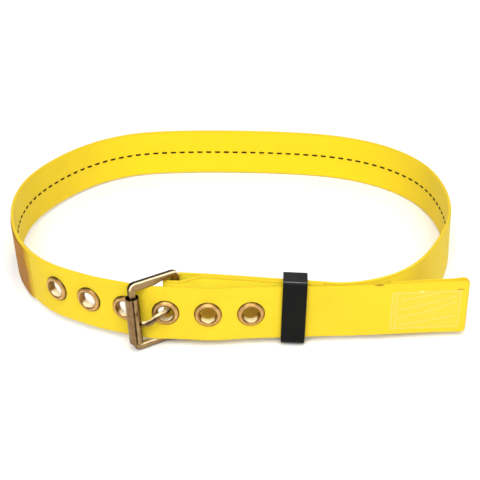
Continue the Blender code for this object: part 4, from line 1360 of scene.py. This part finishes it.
def build_seam(strap, material, name, rows, outs):
    """Rows of pale stitches on two faces, each row from one (length, up) pair to another."""
    pieces = []
    for start, end in rows:
        for out in outs:
            pieces += stitch_row(strap, start, end, out, SEAM_PITCH, SEAM_DASH, SEAM_THREAD)
    finish_piece(joined(name, pieces), material, "belt")


def build_seams(strap, material):
    """The hem's seam, and the box with a cross on the sewn end, each on both of its outer faces."""
    half = STRAP_THICK / 2.0
    hem_rows = [((strap.end - a, up_a), (strap.end - b, up_b)) for a, up_a, b, up_b in HEM_SEAM]
    build_seam(strap, material, "hem_stitches", hem_rows, (half, -half - PLY_PITCH))
    end_rows = []
    for x_a, up_a, x_b, up_b in END_SEAM:
        end_rows.append(((strap.length_at_x(x_a, False), up_a), (strap.length_at_x(x_b, False), up_b)))
    build_seam(strap, material, "end_stitches", end_rows, (-half, half + PLY_PITCH))


# Studio


def build_camera():
    camera = bpy.data.cameras.new("camera")
    camera.lens = CAMERA_LENS
    camera.sensor_width = CAMERA_SENSOR
    camera.clip_start = 0.01
    camera.clip_end = 50.0
    holder = placed("camera", camera)
    down = Matrix.Rotation(math.pi / 2.0 - CAMERA_DOWN, 4, "X")
    turn = Matrix.Rotation(CAMERA_YAW, 4, "Z") @ down @ Matrix.Rotation(CAMERA_ROLL, 4, "Z")
    holder.matrix_world = Matrix.Translation((Vector(CAMERA_PLACE) + SHIFT) * MM) @ turn
    bpy.context.scene.camera = holder


def build_floor():
    paint = Paint("floor")
    cloud = paint.noise(paint.place(), 3.0, 2.0)
    paint.set(Base_Color=paint.mix(cloud, *FLOOR_TONES), Roughness=0.9, Specular_IOR_Level=0.1)
    low = (0.0, 0.0, -FLOOR_DROP)
    bpy.ops.mesh.primitive_circle_add(vertices=128, radius=FLOOR_RADIUS, fill_type="NGON", location=low)
    floor = bpy.context.object
    floor.name = "floor"
    floor.data.materials.append(paint.material)


def area_light(name, place, size, power):
    light = bpy.data.lights.new(name, "AREA")
    light.shape = "DISK"
    light.size = size
    light.energy = power
    holder = placed(name, light)
    holder.location = place
    holder.rotation_euler = (Vector(LIGHTS_AIM) - Vector(place)).to_track_quat("-Z", "Y").to_euler()


def build_world():
    """A bright room: white all round at the height of the horizon, dimmer above it."""
    world = bpy.data.worlds.new("room")
    bpy.context.scene.world = world
    world.use_nodes = True
    tree = world.node_tree
    place = tree.nodes.new("ShaderNodeTexCoord")
    split = tree.nodes.new("ShaderNodeSeparateXYZ")
    tones = tree.nodes.new("ShaderNodeValToRGB")
    tree.links.new(place.outputs["Generated"], split.inputs[0])
    tree.links.new(split.outputs[2], tones.inputs[0])
    tree.links.new(tones.outputs[0], tree.nodes["Background"].inputs["Color"])
    fill_ramp(tones.color_ramp, [(at, (tone, tone, tone)) for at, tone in ROOM_TONES])
    tree.nodes["Background"].inputs["Strength"].default_value = 1.0


def build_studio():
    build_camera()
    build_floor()
    build_world()
    for row in LIGHTS:
        area_light(*row)
    settings = bpy.context.scene.view_settings
    settings.view_transform = "Standard"
    settings.look = "None"


STRAP = Strap()
SHIFT = table_shift(STRAP)


def main():
    buckle = brass_material("buckle", BUCKLE_TONES, 0.26, 0.07)
    grommet = brass_material("grommet", GROMMET_TONES, 0.32, 0.02)
    pale_thread = thread_material("pale_thread", PALE_THREAD_TONES, 0.1)
    build_strap(STRAP, webbing_material(STRAP))
    build_grommets(STRAP, grommet)
    build_frame(buckle)
    build_roller(buckle)
    build_tongue(STRAP, buckle)
    build_keeper(STRAP, keeper_material())
    build_patch(STRAP, patch_material())
    build_waist_row(STRAP, thread_material("dark_thread", DARK_THREAD_TONES, 0.0))
    build_seams(STRAP, pale_thread)
    build_studio()


main()
